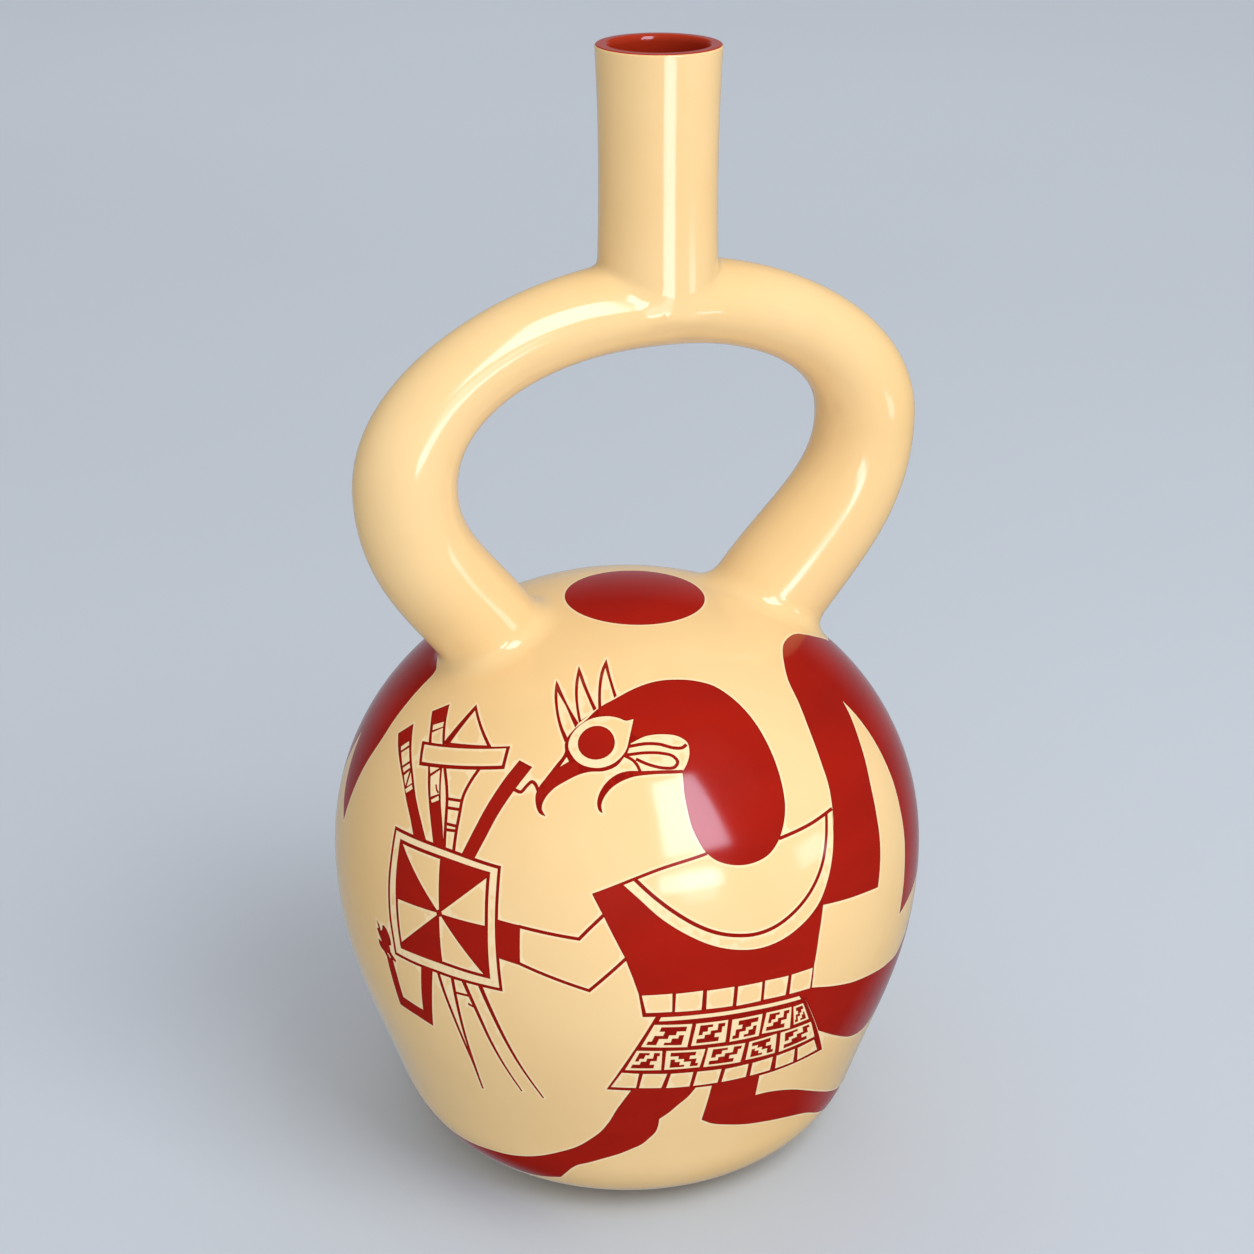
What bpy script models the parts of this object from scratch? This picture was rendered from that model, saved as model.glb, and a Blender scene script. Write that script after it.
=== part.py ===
"""Stirrup-spout bottle: a hollow fired-clay vessel made as one piece.

A round body stands on a flat base. Two hollow arms rise from its shoulders, bow outwards and meet
in a crown, where an upright spout stands. Spout, arms and body share one continuous hollow.

Frame: metres, +Z up, origin at the centre of the flat base, the stirrup's arms along X.
"""

from math import cos, exp, hypot, pi, radians, sin

import bmesh
import bpy
from mathutils import Vector

# Body, outside sizes
BELLY_RADIUS = 0.0765
BELLY_HEIGHT = 0.0789
BODY_HEIGHT = 0.1488
DOME_FULLNESS = 2.08  # 2 is an ellipse, more is squarer
BASE_RADIUS = 0.0390
HEEL_RADIUS = 0.0623
HEEL_HEIGHT = 0.0193
HEEL_LEAN = radians(17)  # how far the side leans in where it turns into the heel
BODY_WALL = 0.0045

# Stirrup centreline, in the plane y = STIRRUP_SET_BACK
STIRRUP_SET_BACK = 0.0040
LEFT_FOOT_X = -0.0350
LEFT_FOOT_LEAN = radians(36)
LEFT_REACH_X = -0.0560
LEFT_REACH_HEIGHT = 0.1822
CROWN_X = 0.0077
CROWN_HEIGHT = 0.2221
RIGHT_REACH_X = 0.0679
RIGHT_REACH_HEIGHT = 0.1859
RIGHT_FOOT_X = 0.0406
RIGHT_FOOT_LEAN = radians(38)

# Stirrup tube, outside radii
LEFT_FOOT_RADIUS = 0.0133
LEFT_ARM_RADIUS = 0.0127
CROWN_RADIUS = 0.0104
RIGHT_ARM_RADIUS = 0.0129
RIGHT_FOOT_RADIUS = 0.0149
CROWN_REACH = 0.85  # share of the way up to the crown where an arm has thinned to its radius
FOOT_FLARE = 0.0028
FOOT_FLARE_HEIGHT = 0.0075
STIRRUP_WALL = 0.0036

# Spout
SPOUT_X = 0.0097
SPOUT_TOP = 0.2838
SPOUT_FOOT_RADIUS = 0.0150
SPOUT_WAIST_RADIUS = 0.0143
SPOUT_WAIST_HEIGHT = 0.2550
SPOUT_RIM_RADIUS = 0.0151
SPOUT_BORE_RADIUS = 0.0118
SPOUT_FLARE = 0.0030
SPOUT_FLARE_HEIGHT = 0.0070
HUB_DEPTH = 0.0096  # how far the spout's rounded lower end reaches below the crown's centreline
HUB_SWELL = 0.0030  # how much the crown widens front to back under the spout
HUB_SPREAD = 0.0170
RIM_ROUND = 0.0007

# Facets
BODY_SIDES = 60
CHAMBER_SIDES = 36
TUBE_SIDES = 22
BORE_SIDES = 14
SPOUT_SIDES = 36
SPOUT_BORE_SIDES = 24


def clear_scene():
    """Removes the objects that a new scene starts with."""
    for item in list(bpy.data.objects):
        bpy.data.objects.remove(item)


def clay_material():
    """Cream slip over fired clay, with a polished sheen."""
    material = bpy.data.materials.new("cream_slip")
    material.use_nodes = True
    shader = material.node_tree.nodes["Principled BSDF"]
    shader.inputs["Base Color"].default_value = (0.82, 0.60, 0.34, 1.0)
    shader.inputs["Roughness"].default_value = 0.22
    shader.inputs["Metallic"].default_value = 0.0
    return material


def bezier(start, start_handle, end_handle, end, share):
    """A point of a cubic Bezier curve."""
    rest = 1.0 - share
    return (
        start * rest**3
        + start_handle * (3 * rest**2 * share)
        + end_handle * (3 * rest * share**2)
        + end * share**3
    )


def arc_between(start, start_way, end, end_way, points):
    """Points of a smooth curve that leaves start along start_way and reaches end along end_way."""
    pull = 0.39 * (end - start).length
    return [
        bezier(start, start + start_way * pull, end - end_way * pull, end, i / points)
        for i in range(points + 1)
    ]


def dome_height(radius):
    """Height of the body's upper half at a distance from its axis."""
    share = max(0.0, 1.0 - (abs(radius) / BELLY_RADIUS) ** DOME_FULLNESS)
    return BELLY_HEIGHT + (BODY_HEIGHT - BELLY_HEIGHT) * share ** (1.0 / DOME_FULLNESS)


def body_profile(heel_points, side_points, dome_points):
    """The outer half-section as (radius, height) points, from the base's centre up to the pole."""
    heel = Vector((HEEL_RADIUS, HEEL_HEIGHT))
    belly = Vector((BELLY_RADIUS, BELLY_HEIGHT))
    side_way = Vector((sin(HEEL_LEAN), cos(HEEL_LEAN)))
    up = Vector((0.0, 1.0))
    out = Vector((1.0, 0.0))
    low = arc_between(Vector((BASE_RADIUS, 0.0)), out, heel, side_way, heel_points)
    side = arc_between(heel, side_way, belly, up, side_points)
    dome = []
    for i in range(1, dome_points):
        angle = 0.5 * pi * i / dome_points
        radius = BELLY_RADIUS * cos(angle) ** (2.0 / DOME_FULLNESS)
        dome.append(Vector((radius, dome_height(radius))))
    return [Vector((0.0, 0.0))] + low + side[1:] + dome + [Vector((0.0, BODY_HEIGHT))]


def inset_profile(profile, wall):
    """The profile moved inwards by the wall, square to itself."""
    moved = []
    last = len(profile) - 1
    for i, point in enumerate(profile):
        along = (profile[min(i + 1, last)] - profile[max(i - 1, 0)]).normalized()
        inner = point + Vector((-along.y, along.x)) * wall
        moved.append(Vector((max(0.0, inner.x), inner.y)))
    moved[0] = Vector((0.0, profile[0].y + wall))
    moved[1].y = profile[0].y + wall
    moved[-1] = Vector((0.0, profile[-1].y - wall))
    return moved


def finish_mesh(name, bm):
    """Makes an object of a closed bmesh, with its faces pointing out."""
    bmesh.ops.remove_doubles(bm, verts=bm.verts, dist=1e-6)
    bmesh.ops.recalc_face_normals(bm, faces=bm.faces)
    mesh = bpy.data.meshes.new(name)
    bm.to_mesh(mesh)
    bm.free()
    item = bpy.data.objects.new(name, mesh)
    bpy.context.scene.collection.objects.link(item)
    return item


def turned(name, profile, sides, centre=(0.0, 0.0)):
    """A solid of revolution about the upright line through centre, from an open half-section."""
    bm = bmesh.new()
    rings = []
    for point in profile:
        ring = []
        for k in range(sides if point.x > 1e-9 else 1):
            angle = 2 * pi * k / sides
            x = centre[0] + point.x * cos(angle)
            y = centre[1] + point.x * sin(angle)
            ring.append(bm.verts.new((x, y, point.y)))
        rings.append(ring)
    bridge_rings(bm, rings, sides)
    return finish_mesh(name, bm)


def bridge_rings(bm, rings, sides):
    """Joins each ring to the next with quads, or with triangles where a ring is one point."""
    for low, high in zip(rings, rings[1:]):
        for k in range(sides):
            near, far = k, (k + 1) % sides
            below = [low[near % len(low)], low[far % len(low)]]
            above = [high[far % len(high)], high[near % len(high)]]
            bm.faces.new(list(dict.fromkeys(below + above)))


def foot(x, lean, side):
    """Where an arm's centreline meets the dome, and the way it runs there, going up and outwards."""
    radius = hypot(x, STIRRUP_SET_BACK)
    place = Vector((x, 0.0, dome_height(radius)))
    return place, Vector((side * sin(lean), 0.0, cos(lean)))


def centreline(foot_points, arm_points, depth):
    """The stirrup's centreline from the left foot to the right one.

    It starts and ends at a depth below the dome's outside.
    """
    left, left_way = foot(LEFT_FOOT_X, LEFT_FOOT_LEAN, -1)
    right, right_way = foot(RIGHT_FOOT_X, RIGHT_FOOT_LEAN, 1)
    left_reach = Vector((LEFT_REACH_X, 0.0, LEFT_REACH_HEIGHT))
    right_reach = Vector((RIGHT_REACH_X, 0.0, RIGHT_REACH_HEIGHT))
    up, down = Vector((0.0, 0.0, 1.0)), Vector((0.0, 0.0, -1.0))
    places = arc_between(left - left_way * depth, left_way, left, left_way, 2)[:-1]
    places += arc_between(left, left_way, left_reach, up, foot_points)[:-1]
    crown = Vector((CROWN_X, 0.0, CROWN_HEIGHT))
    for i in range(arm_points):
        angle = 0.5 * pi * i / arm_points
        x = crown.x + (left_reach.x - crown.x) * cos(angle)
        places.append(Vector((x, 0.0, left_reach.z + (crown.z - left_reach.z) * sin(angle))))
    for i in range(arm_points):
        angle = 0.5 * pi * i / arm_points
        x = crown.x + (right_reach.x - crown.x) * sin(angle)
        places.append(Vector((x, 0.0, right_reach.z + (crown.z - right_reach.z) * cos(angle))))
    places += arc_between(right_reach, down, right, -right_way, foot_points)
    places += arc_between(right, -right_way, right - right_way * depth, -right_way, 2)[1:]
    return places


def ease(share):
    """A share from 0 to 1, with a soft start and a soft end."""
    share = min(1.0, max(0.0, share))
    return share * share * (3.0 - 2.0 * share)


def tube_radius(place):
    """The stirrup's outside radius at a point of its centreline, eased between its named sizes."""
    if place.x < CROWN_X:
        foot_radius, arm_radius = LEFT_FOOT_RADIUS, LEFT_ARM_RADIUS
        reach, foot_height = LEFT_REACH_HEIGHT, dome_height(LEFT_FOOT_X)
    else:
        foot_radius, arm_radius = RIGHT_FOOT_RADIUS, RIGHT_ARM_RADIUS
        reach, foot_height = RIGHT_REACH_HEIGHT, dome_height(RIGHT_FOOT_X)
    if place.z > reach:
        share = (place.z - reach) / (CROWN_HEIGHT - reach) / CROWN_REACH
        return arm_radius + (CROWN_RADIUS - arm_radius) * ease(share)
    share = (reach - place.z) / (reach - foot_height)
    return arm_radius + (foot_radius - arm_radius) * ease(share)


def hub_swell(place):
    """How much the stirrup is wider front to back at a point of its centreline, near the spout."""
    if place.z < 0.5 * (LEFT_REACH_HEIGHT + CROWN_HEIGHT):
        return 0.0
    return HUB_SWELL * exp(-(((place.x - SPOUT_X) / HUB_SPREAD) ** 2))


def flare(gap, most, height):
    """How far a wall widens towards the surface that it meets, when it is this far from it."""
    return most * (1.0 - min(1.0, max(0.0, gap / height))) ** 2


def gap_to_dome(point):
    """About how far a point stands outside the body's dome."""
    radius = hypot(point.x, point.y)
    share = (radius / BELLY_RADIUS) ** DOME_FULLNESS
    tall = BODY_HEIGHT - BELLY_HEIGHT
    share += (max(0.0, point.z - BELLY_HEIGHT) / tall) ** DOME_FULLNESS
    return (share ** (1.0 / DOME_FULLNESS) - 1.0) * tall


def stirrup(name, sides, thinner, depth, foot_points, arm_points):
    """The stirrup as a bent round bar with flared feet, or thinner by a wall for its hollow."""
    places = centreline(foot_points, arm_points, depth)
    last = len(places) - 1
    bm = bmesh.new()
    rings = []
    across = Vector((0.0, 1.0, 0.0))
    for i, place in enumerate(places):
        along = (places[min(i + 1, last)] - places[max(i - 1, 0)]).normalized()
        outward = across.cross(along)
        middle = place + across * STIRRUP_SET_BACK
        radius = tube_radius(place) - thinner
        ring = []
        for k in range(sides):
            angle = 2 * pi * k / sides
            way = outward * cos(angle) + across * sin(angle)
            wider = 0.0
            if not thinner:
                wider = flare(gap_to_dome(middle + way * radius), FOOT_FLARE, FOOT_FLARE_HEIGHT)
            swollen = across * (hub_swell(place) * sin(angle))
            ring.append(bm.verts.new(middle + way * (radius + wider) + swollen))
        rings.append(ring)
    bridge_rings(bm, rings, sides)
    bm.faces.new(rings[0])
    bm.faces.new(rings[-1])
    return finish_mesh(name, bm)


def gap_to_stirrup(point, places):
    """How far a point stands outside the stirrup's wall."""
    flat = Vector((point.x, 0.0, point.z))
    near = min(places, key=lambda place: (place - flat).length_squared)
    aside = point.y - STIRRUP_SET_BACK
    return hypot((near - flat).length, aside) - tube_radius(near)


def spout_profile(hub_points, foot_points, wall_points):
    """The spout's outside half-section, from its rounded lower end in the crown up to the rim."""
    points = []
    for i in range(hub_points):
        angle = 0.5 * pi * i / hub_points
        radius = SPOUT_FOOT_RADIUS * sin(angle)
        points.append(Vector((radius, CROWN_HEIGHT - HUB_DEPTH * cos(angle))))
    foot_top = CROWN_HEIGHT + CROWN_RADIUS + SPOUT_FLARE_HEIGHT
    for i in range(foot_points):
        height = CROWN_HEIGHT + (foot_top - CROWN_HEIGHT) * i / foot_points
        points.append(Vector((spout_radius(height), height)))
    for i in range(wall_points + 1):
        height = foot_top + (SPOUT_TOP - RIM_ROUND - foot_top) * i / wall_points
        points.append(Vector((spout_radius(height), height)))
    points.append(Vector((SPOUT_RIM_RADIUS - RIM_ROUND, SPOUT_TOP)))
    points.append(Vector((0.0, SPOUT_TOP)))
    return points


def spout(name, profile, sides):
    """The spout's outside, flared where it meets the stirrup's arms."""
    places = centreline(12, 40, BODY_WALL)
    bm = bmesh.new()
    rings = []
    for point in profile:
        count = sides if point.x > 1e-9 else 1
        ring = []
        for k in range(count):
            way = Vector((cos(2 * pi * k / sides), sin(2 * pi * k / sides), 0.0))
            middle = Vector((SPOUT_X, STIRRUP_SET_BACK, point.y))
            gap = gap_to_stirrup(middle + way * point.x, places)
            above = ease((point.y - CROWN_HEIGHT) / CROWN_RADIUS)
            wider = above * flare(gap, SPOUT_FLARE, SPOUT_FLARE_HEIGHT)
            ring.append(bm.verts.new(middle + way * (point.x + wider * (count > 1))))
        rings.append(ring)
    bridge_rings(bm, rings, sides)
    return finish_mesh(name, bm)


def spout_radius(height):
    """The spout's outside radius at a height: wide at the foot, waisted, wide again at the rim."""
    if height < SPOUT_WAIST_HEIGHT:
        share = (SPOUT_WAIST_HEIGHT - height) / (SPOUT_WAIST_HEIGHT - CROWN_HEIGHT)
        return SPOUT_WAIST_RADIUS + (SPOUT_FOOT_RADIUS - SPOUT_WAIST_RADIUS) * share**2
    share = (height - SPOUT_WAIST_HEIGHT) / (SPOUT_TOP - SPOUT_WAIST_HEIGHT)
    return SPOUT_WAIST_RADIUS + (SPOUT_RIM_RADIUS - SPOUT_WAIST_RADIUS) * share**2


def helper(item):
    """Marks an object as a tool for a Boolean and not a part of the bottle."""
    item.hide_render = True
    item.display_type = "WIRE"
    return item


def boolean(item, operation, other):
    """Adds one exact Boolean step to the bottle."""
    step = item.modifiers.new(other.name, "BOOLEAN")
    step.operation = operation
    step.object = helper(other)
    step.solver = "EXACT"


def bore_profile():
    """The spout's hollow as a half-section, from its rounded lower end to past the rim."""
    low = CROWN_HEIGHT - HUB_DEPTH + 2.0 * STIRRUP_WALL
    points = []
    for i in range(4):
        angle = 0.5 * pi * i / 4
        radius = SPOUT_BORE_RADIUS * sin(angle)
        points.append(Vector((radius, low + SPOUT_BORE_RADIUS * (1.0 - cos(angle)))))
    points.append(Vector((SPOUT_BORE_RADIUS, low + SPOUT_BORE_RADIUS)))
    points.append(Vector((SPOUT_BORE_RADIUS, SPOUT_TOP - RIM_ROUND)))
    points.append(Vector((SPOUT_BORE_RADIUS + RIM_ROUND, SPOUT_TOP)))
    points.append(Vector((SPOUT_BORE_RADIUS + RIM_ROUND, SPOUT_TOP + BODY_WALL)))
    points.append(Vector((0.0, SPOUT_TOP + BODY_WALL)))
    return points


def build_bottle():
    """The whole bottle as one solid: outer forms joined, then the hollow cut from them."""
    centre = (SPOUT_X, STIRRUP_SET_BACK)
    bottle = turned("bottle", body_profile(6, 8, 16), BODY_SIDES)
    stirrup_form = stirrup("stirrup_form", TUBE_SIDES, 0.0, 2.0 * BODY_WALL, 14, 11)
    spout_form = spout("spout_form", spout_profile(4, 6, 5), SPOUT_SIDES)
    boolean(bottle, "UNION", stirrup_form)
    boolean(bottle, "UNION", spout_form)

    chamber = inset_profile(body_profile(4, 6, 10), BODY_WALL)
    chamber_hollow = turned("chamber_hollow", chamber, CHAMBER_SIDES)
    stirrup_hollow = stirrup("stirrup_hollow", BORE_SIDES, STIRRUP_WALL, 2.0 * BODY_WALL, 5, 9)
    spout_hollow = turned("spout_hollow", bore_profile(), SPOUT_BORE_SIDES, centre)
    boolean(bottle, "DIFFERENCE", chamber_hollow)
    boolean(bottle, "DIFFERENCE", stirrup_hollow)
    boolean(bottle, "DIFFERENCE", spout_hollow)

    bottle.data.materials.append(clay_material())
    bottle.data.shade_smooth()
    bottle.data.set_sharp_from_angle(angle=radians(40))
    return bottle


clear_scene()
build_bottle()
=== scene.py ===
"""Stirrup-spout bottle: the polished cream skin, its red painting and the studio around it."""

from contextlib import contextmanager
from math import cos, pi, radians, sin

import bmesh
import bpy
import numpy as np
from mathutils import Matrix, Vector, geometry, kdtree


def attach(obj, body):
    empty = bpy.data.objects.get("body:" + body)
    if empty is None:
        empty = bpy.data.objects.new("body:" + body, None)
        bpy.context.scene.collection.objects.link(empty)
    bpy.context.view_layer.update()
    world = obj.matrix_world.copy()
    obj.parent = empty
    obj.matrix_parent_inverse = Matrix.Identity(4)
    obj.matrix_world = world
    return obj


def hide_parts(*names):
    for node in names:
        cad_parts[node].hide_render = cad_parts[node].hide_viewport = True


bl_info = {
    "name": "Stirrup-Spout Bottle",
    "version": (1, 0, 0),
    "blender": (4, 5, 0),
    "location": "3D View > Sidebar > Bottle",
    "description": "Builds the painted skin of a stirrup-spout bottle and a plain studio",
    "category": "Object",
}

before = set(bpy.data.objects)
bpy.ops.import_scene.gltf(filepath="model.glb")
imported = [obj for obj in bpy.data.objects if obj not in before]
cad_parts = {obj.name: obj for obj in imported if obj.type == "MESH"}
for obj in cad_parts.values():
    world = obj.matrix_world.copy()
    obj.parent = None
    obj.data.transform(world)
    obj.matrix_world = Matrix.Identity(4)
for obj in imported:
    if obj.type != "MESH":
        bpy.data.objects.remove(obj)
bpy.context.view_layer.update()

MM = 0.001
CREAM, RED, CLAY = 0.0, 1.0, 2.0
UP = np.array([0.0, 0.0, 1.0])
ACROSS = np.array([0.0, 1.0, 0.0])  # front to back, square to the stirrup's plane

# Fineness of the skin: distances in metres, then counts of points and rows
BODY_STEP, STIRRUP_STEP = 0.0018, 0.0017
CLEAR_OF_LINES, CLEAR_OF_HOLE = 0.0006, 0.0007
UNROLL_RADIUS = 0.0115
WELD_DISTANCE = 4e-6
TUBE_COUNT, SPOUT_COUNT, BASE_COUNT = 56, 96, 180
SPOUT_ROWS = 56
HOLLOW_COUNT, HOLLOW_RINGS, CHAMBER_STEPS = 40, 150, 96
BATCH = 4000  # points measured at a time

# How the forms meet
ARC_PULL = 0.39  # how strongly a curve keeps to its end directions
HUB_FADE, HUB_SIDE_FADE = 0.012, 0.008  # where the hub's soft corner gives way to the crease
FOOT_DEPTH, HOLLOW_DEPTH = 0.012, 0.009  # how far the tube and its hollow reach into the body

FAR_FROM_PAINT = 9.0  # the paint gap, in mm, of places away from the painting


# Named sizes of the vessel, the same as the solid's

def length(name, default, description):
    """A length that a user may change, in metres."""
    return bpy.props.FloatProperty(
        name=name, default=default, description=description, min=0.0, unit="LENGTH", precision=4
    )


def angle(name, default, description):
    """An angle that a user may change."""
    return bpy.props.FloatProperty(
        name=name, default=default, description=description, subtype="ANGLE", unit="ROTATION"
    )


def colour(name, default, description):
    """A colour that a user may change."""
    return bpy.props.FloatVectorProperty(
        name=name, default=default, description=description, subtype="COLOR", size=4, min=0, max=1
    )


class BottleSizes(bpy.types.PropertyGroup):
    """Outside sizes of the body, the stirrup and the spout."""

    belly_radius: length("Belly Radius", 0.0765, "Widest radius of the body")
    belly_height: length("Belly Height", 0.0789, "Height of the widest place")
    body_height: length("Body Height", 0.1488, "Height of the top of the dome")
    dome_fullness: bpy.props.FloatProperty(
        name="Dome Fullness", default=2.08, description="2 is an ellipse, more is squarer"
    )
    base_radius: length("Base Radius", 0.0390, "Radius of the flat base")
    heel_radius: length("Heel Radius", 0.0623, "Radius where the side turns into the heel")
    heel_height: length("Heel Height", 0.0193, "Height where the side turns into the heel")
    heel_lean: angle("Heel Lean", radians(17), "How far the side leans in at the heel")
    body_wall: length("Body Wall", 0.0045, "Thickness of the body's wall")
    set_back: length("Set Back", 0.0040, "How far the stirrup stands behind the middle")
    left_foot_x: bpy.props.FloatProperty(
        name="Left Foot", default=-0.0350, description="Place of the left foot", unit="LENGTH"
    )
    left_foot_lean: angle("Left Foot Lean", radians(36), "Outward lean of the left foot")
    left_reach_x: bpy.props.FloatProperty(
        name="Left Reach", default=-0.0560, description="Furthest place left", unit="LENGTH"
    )
    left_reach_height: length("Left Reach Height", 0.1822, "Height of the furthest place left")
    crown_x: length("Crown", 0.0077, "Place of the stirrup's highest point")
    crown_height: length("Crown Height", 0.2221, "Height of the centreline at the crown")
    right_reach_x: length("Right Reach", 0.0679, "Furthest place right")
    right_reach_height: length("Right Reach Height", 0.1859, "Height of the furthest place right")
    right_foot_x: length("Right Foot", 0.0406, "Place of the right foot")
    right_foot_lean: angle("Right Foot Lean", radians(38), "Outward lean of the right foot")
    left_foot_radius: length("Left Foot Radius", 0.0133, "Radius of the left foot")
    left_arm_radius: length("Left Arm Radius", 0.0127, "Radius of the left arm")
    crown_radius: length("Crown Radius", 0.0104, "Radius at the crown")
    right_arm_radius: length("Right Arm Radius", 0.0129, "Radius of the right arm")
    right_foot_radius: length("Right Foot Radius", 0.0149, "Radius of the right foot")
    crown_reach: bpy.props.FloatProperty(
        name="Crown Reach", default=0.85, description="Where an arm has thinned to the crown"
    )
    foot_blend: length("Foot Blend", 0.0050, "Reach of the soft corner at the feet")
    stirrup_wall: length("Stirrup Wall", 0.0036, "Thickness of the stirrup's wall")
    spout_x: length("Spout", 0.0097, "Place of the spout's axis")
    spout_top: length("Spout Top", 0.2838, "Height of the rim")
    spout_foot_radius: length("Spout Foot Radius", 0.0150, "Radius at the spout's foot")
    spout_waist_radius: length("Spout Waist Radius", 0.0143, "Narrowest radius of the spout")
    spout_waist_height: length("Spout Waist Height", 0.2550, "Height of the narrowest place")
    spout_rim_radius: length("Spout Rim Radius", 0.0151, "Outside radius of the rim")
    spout_bore_radius: length("Spout Bore Radius", 0.0118, "Radius of the mouth")
    spout_blend: length("Spout Blend", 0.0018, "Reach of the crease between spout and crown")
    hub_blend: length("Hub Blend", 0.0045, "Reach of the soft corner low on the hub's right side")
    hub_depth: length("Hub Depth", 0.0055, "Reach of the spout's end below the crown's centreline")
    hub_swell: length("Hub Swell", 0.0042, "How much the crown widens front to back")
    hub_spread: length("Hub Spread", 0.0170, "How far along the crown that goes")
    rim_round: length("Rim Round", 0.0007, "Rounding of the rim's outer edge")
    mouth_flare: length("Mouth Flare", 0.0009, "How far the mouth widens at the lip")
    mouth_depth: length("Mouth Depth", 0.0016, "How far down the mouth starts to widen")
    painted_depth: length("Painted Depth", 0.0300, "How far down the mouth the red slip goes")


class BottleColours(bpy.types.PropertyGroup):
    """Colours of the slips and the bare clay."""

    cream: colour("Cream Slip", (0.900, 0.645, 0.330, 1.0), "Cream slip of the ground")
    cream_pale: colour("Pale Cream", (0.935, 0.740, 0.450, 1.0), "Cream beside the painting")
    cream_deep: colour("Deep Cream", (0.850, 0.575, 0.265, 1.0), "Cream where it lies thicker")
    red: colour("Red Slip", (0.378, 0.0115, 0.0046, 1.0), "Red slip of the painting")
    red_deep: colour("Deep Red", (0.305, 0.0095, 0.0044, 1.0), "Red slip where it lies thicker")
    red_brim: colour("Red Brim", (0.230, 0.004, 0.002, 1.0), "Red slip gathered at its edge")
    # Mouth Red: an oranger red that the painting's red turns into towards the top of the spout, on
    # the rim and in the mouth
    red_mouth: colour("Mouth Red", (0.440, 0.036, 0.012, 1.0), "Thin red slip of rim and mouth")
    clay: colour("Bare Clay", (0.340, 0.140, 0.060, 1.0), "Bare fired clay inside")


class BottleStudio(bpy.types.PropertyGroup):
    """Camera and floor."""

    view_turn: angle("View Turn", radians(22.5), "Turn of the camera from the stirrup's face")
    view_pitch: angle("View Pitch", radians(23.51), "Downward pitch of the camera")
    view_distance: length("View Distance", 0.5577, "Level distance of the camera from the middle")
    view_height: length("View Height", 0.3815, "Height of the camera above the floor")
    view_lens: bpy.props.FloatProperty(name="View Lens", default=68.76, description="Lens in mm")
    floor: colour("Floor", (0.545, 0.60, 0.68, 1.0), "Plain pale floor")


# Shapes worked out from the sizes

def ease(share):
    """A share from 0 to 1, with a soft start and a soft end."""
    share = np.clip(share, 0.0, 1.0)
    return share * share * (3.0 - 2.0 * share)


def arc_between(start, start_way, end, end_way, count):
    """Points of a smooth curve that leaves start along start_way and reaches end along end_way."""
    pull = ARC_PULL * np.linalg.norm(end - start)
    near, far = start + start_way * pull, end - end_way * pull
    t = np.linspace(0.0, 1.0, count)[:, None]
    u = 1.0 - t
    return start * u**3 + 3 * near * u**2 * t + 3 * far * u * t**2 + end * t**3


def along(points):
    """Distance along a row of points."""
    steps = np.linalg.norm(np.diff(points, axis=0), axis=1)
    return np.concatenate([[0.0], np.cumsum(steps)])


def spread_evenly(points, count):
    """The same curve with its points at even distances."""
    where = along(points)
    return read_off(np.linspace(0.0, where[-1], count), where, points)


def read_off(where, rows, table):
    """Each column of a table, read off between its rows."""
    return np.stack([np.interp(where, rows, column) for column in table.T], axis=-1)


def unit(ways):
    """The same directions, each one long."""
    return ways / np.linalg.norm(ways, axis=-1)[..., None]


def polar(reach, turn):
    """Flat places from their distance and turn round the middle."""
    return np.stack([reach * np.cos(turn), reach * np.sin(turn)], axis=-1)


def full_turn(count):
    """Even turns all the way round, without the last."""
    return np.linspace(0.0, 2 * pi, count, endpoint=False)


def swung(section, out, centre):
    """Points of a half-section, each swung round an upright axis to its own side."""
    return np.concatenate([centre + section[:, :1] * out, section[:, 1:]], axis=1)


def nearest_along(points, line, ways, where):
    """Distance along a line that lies nearest to each point."""
    found = np.empty(len(points))
    for low in range(0, len(points), BATCH):
        part = points[low : low + BATCH]
        near = ((part[:, None, :] - line[None]) ** 2).sum(-1).argmin(1)
        found[low : low + BATCH] = where[near] + ((part - line[near]) * ways[near]).sum(1)
    return np.clip(found, 0.0, where[-1])


class Turned:
    """A surface of revolution about an upright axis, from a half-section in the order that keeps
    the outside on the right hand."""

    def __init__(self, section, centre, count=900):
        self.section = spread_evenly(np.asarray(section), count)
        self.centre = np.asarray(centre)
        self.where = along(self.section)
        self.way = unit(np.gradient(self.section, self.where, axis=0))
        self.normal = np.stack([-self.way[:, 1], self.way[:, 0]], axis=1)

    def at(self, where):
        """Section point and its outward normal at a distance along the section."""
        point = read_off(where, self.where, self.section)
        return point, unit(read_off(where, self.where, self.normal))

    def nearest(self, points):
        """Distance along the section that lies nearest to each point, and where the point is."""
        flat = points[:, :2] - self.centre
        radius = np.linalg.norm(flat, axis=1)
        place = np.stack([radius, points[:, 2]], axis=1)
        return nearest_along(place, self.section, self.way, self.where), place, flat, radius

    def gap(self, points):
        """Signed distance outside the surface, and the way out."""
        where, place, flat, radius = self.nearest(points)
        near, normal = self.at(where)
        out = flat / np.maximum(radius, 1e-9)[:, None]
        way = np.concatenate([out * normal[:, :1], normal[:, 1:]], axis=1)
        return ((place - near) * normal).sum(1), way


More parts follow.
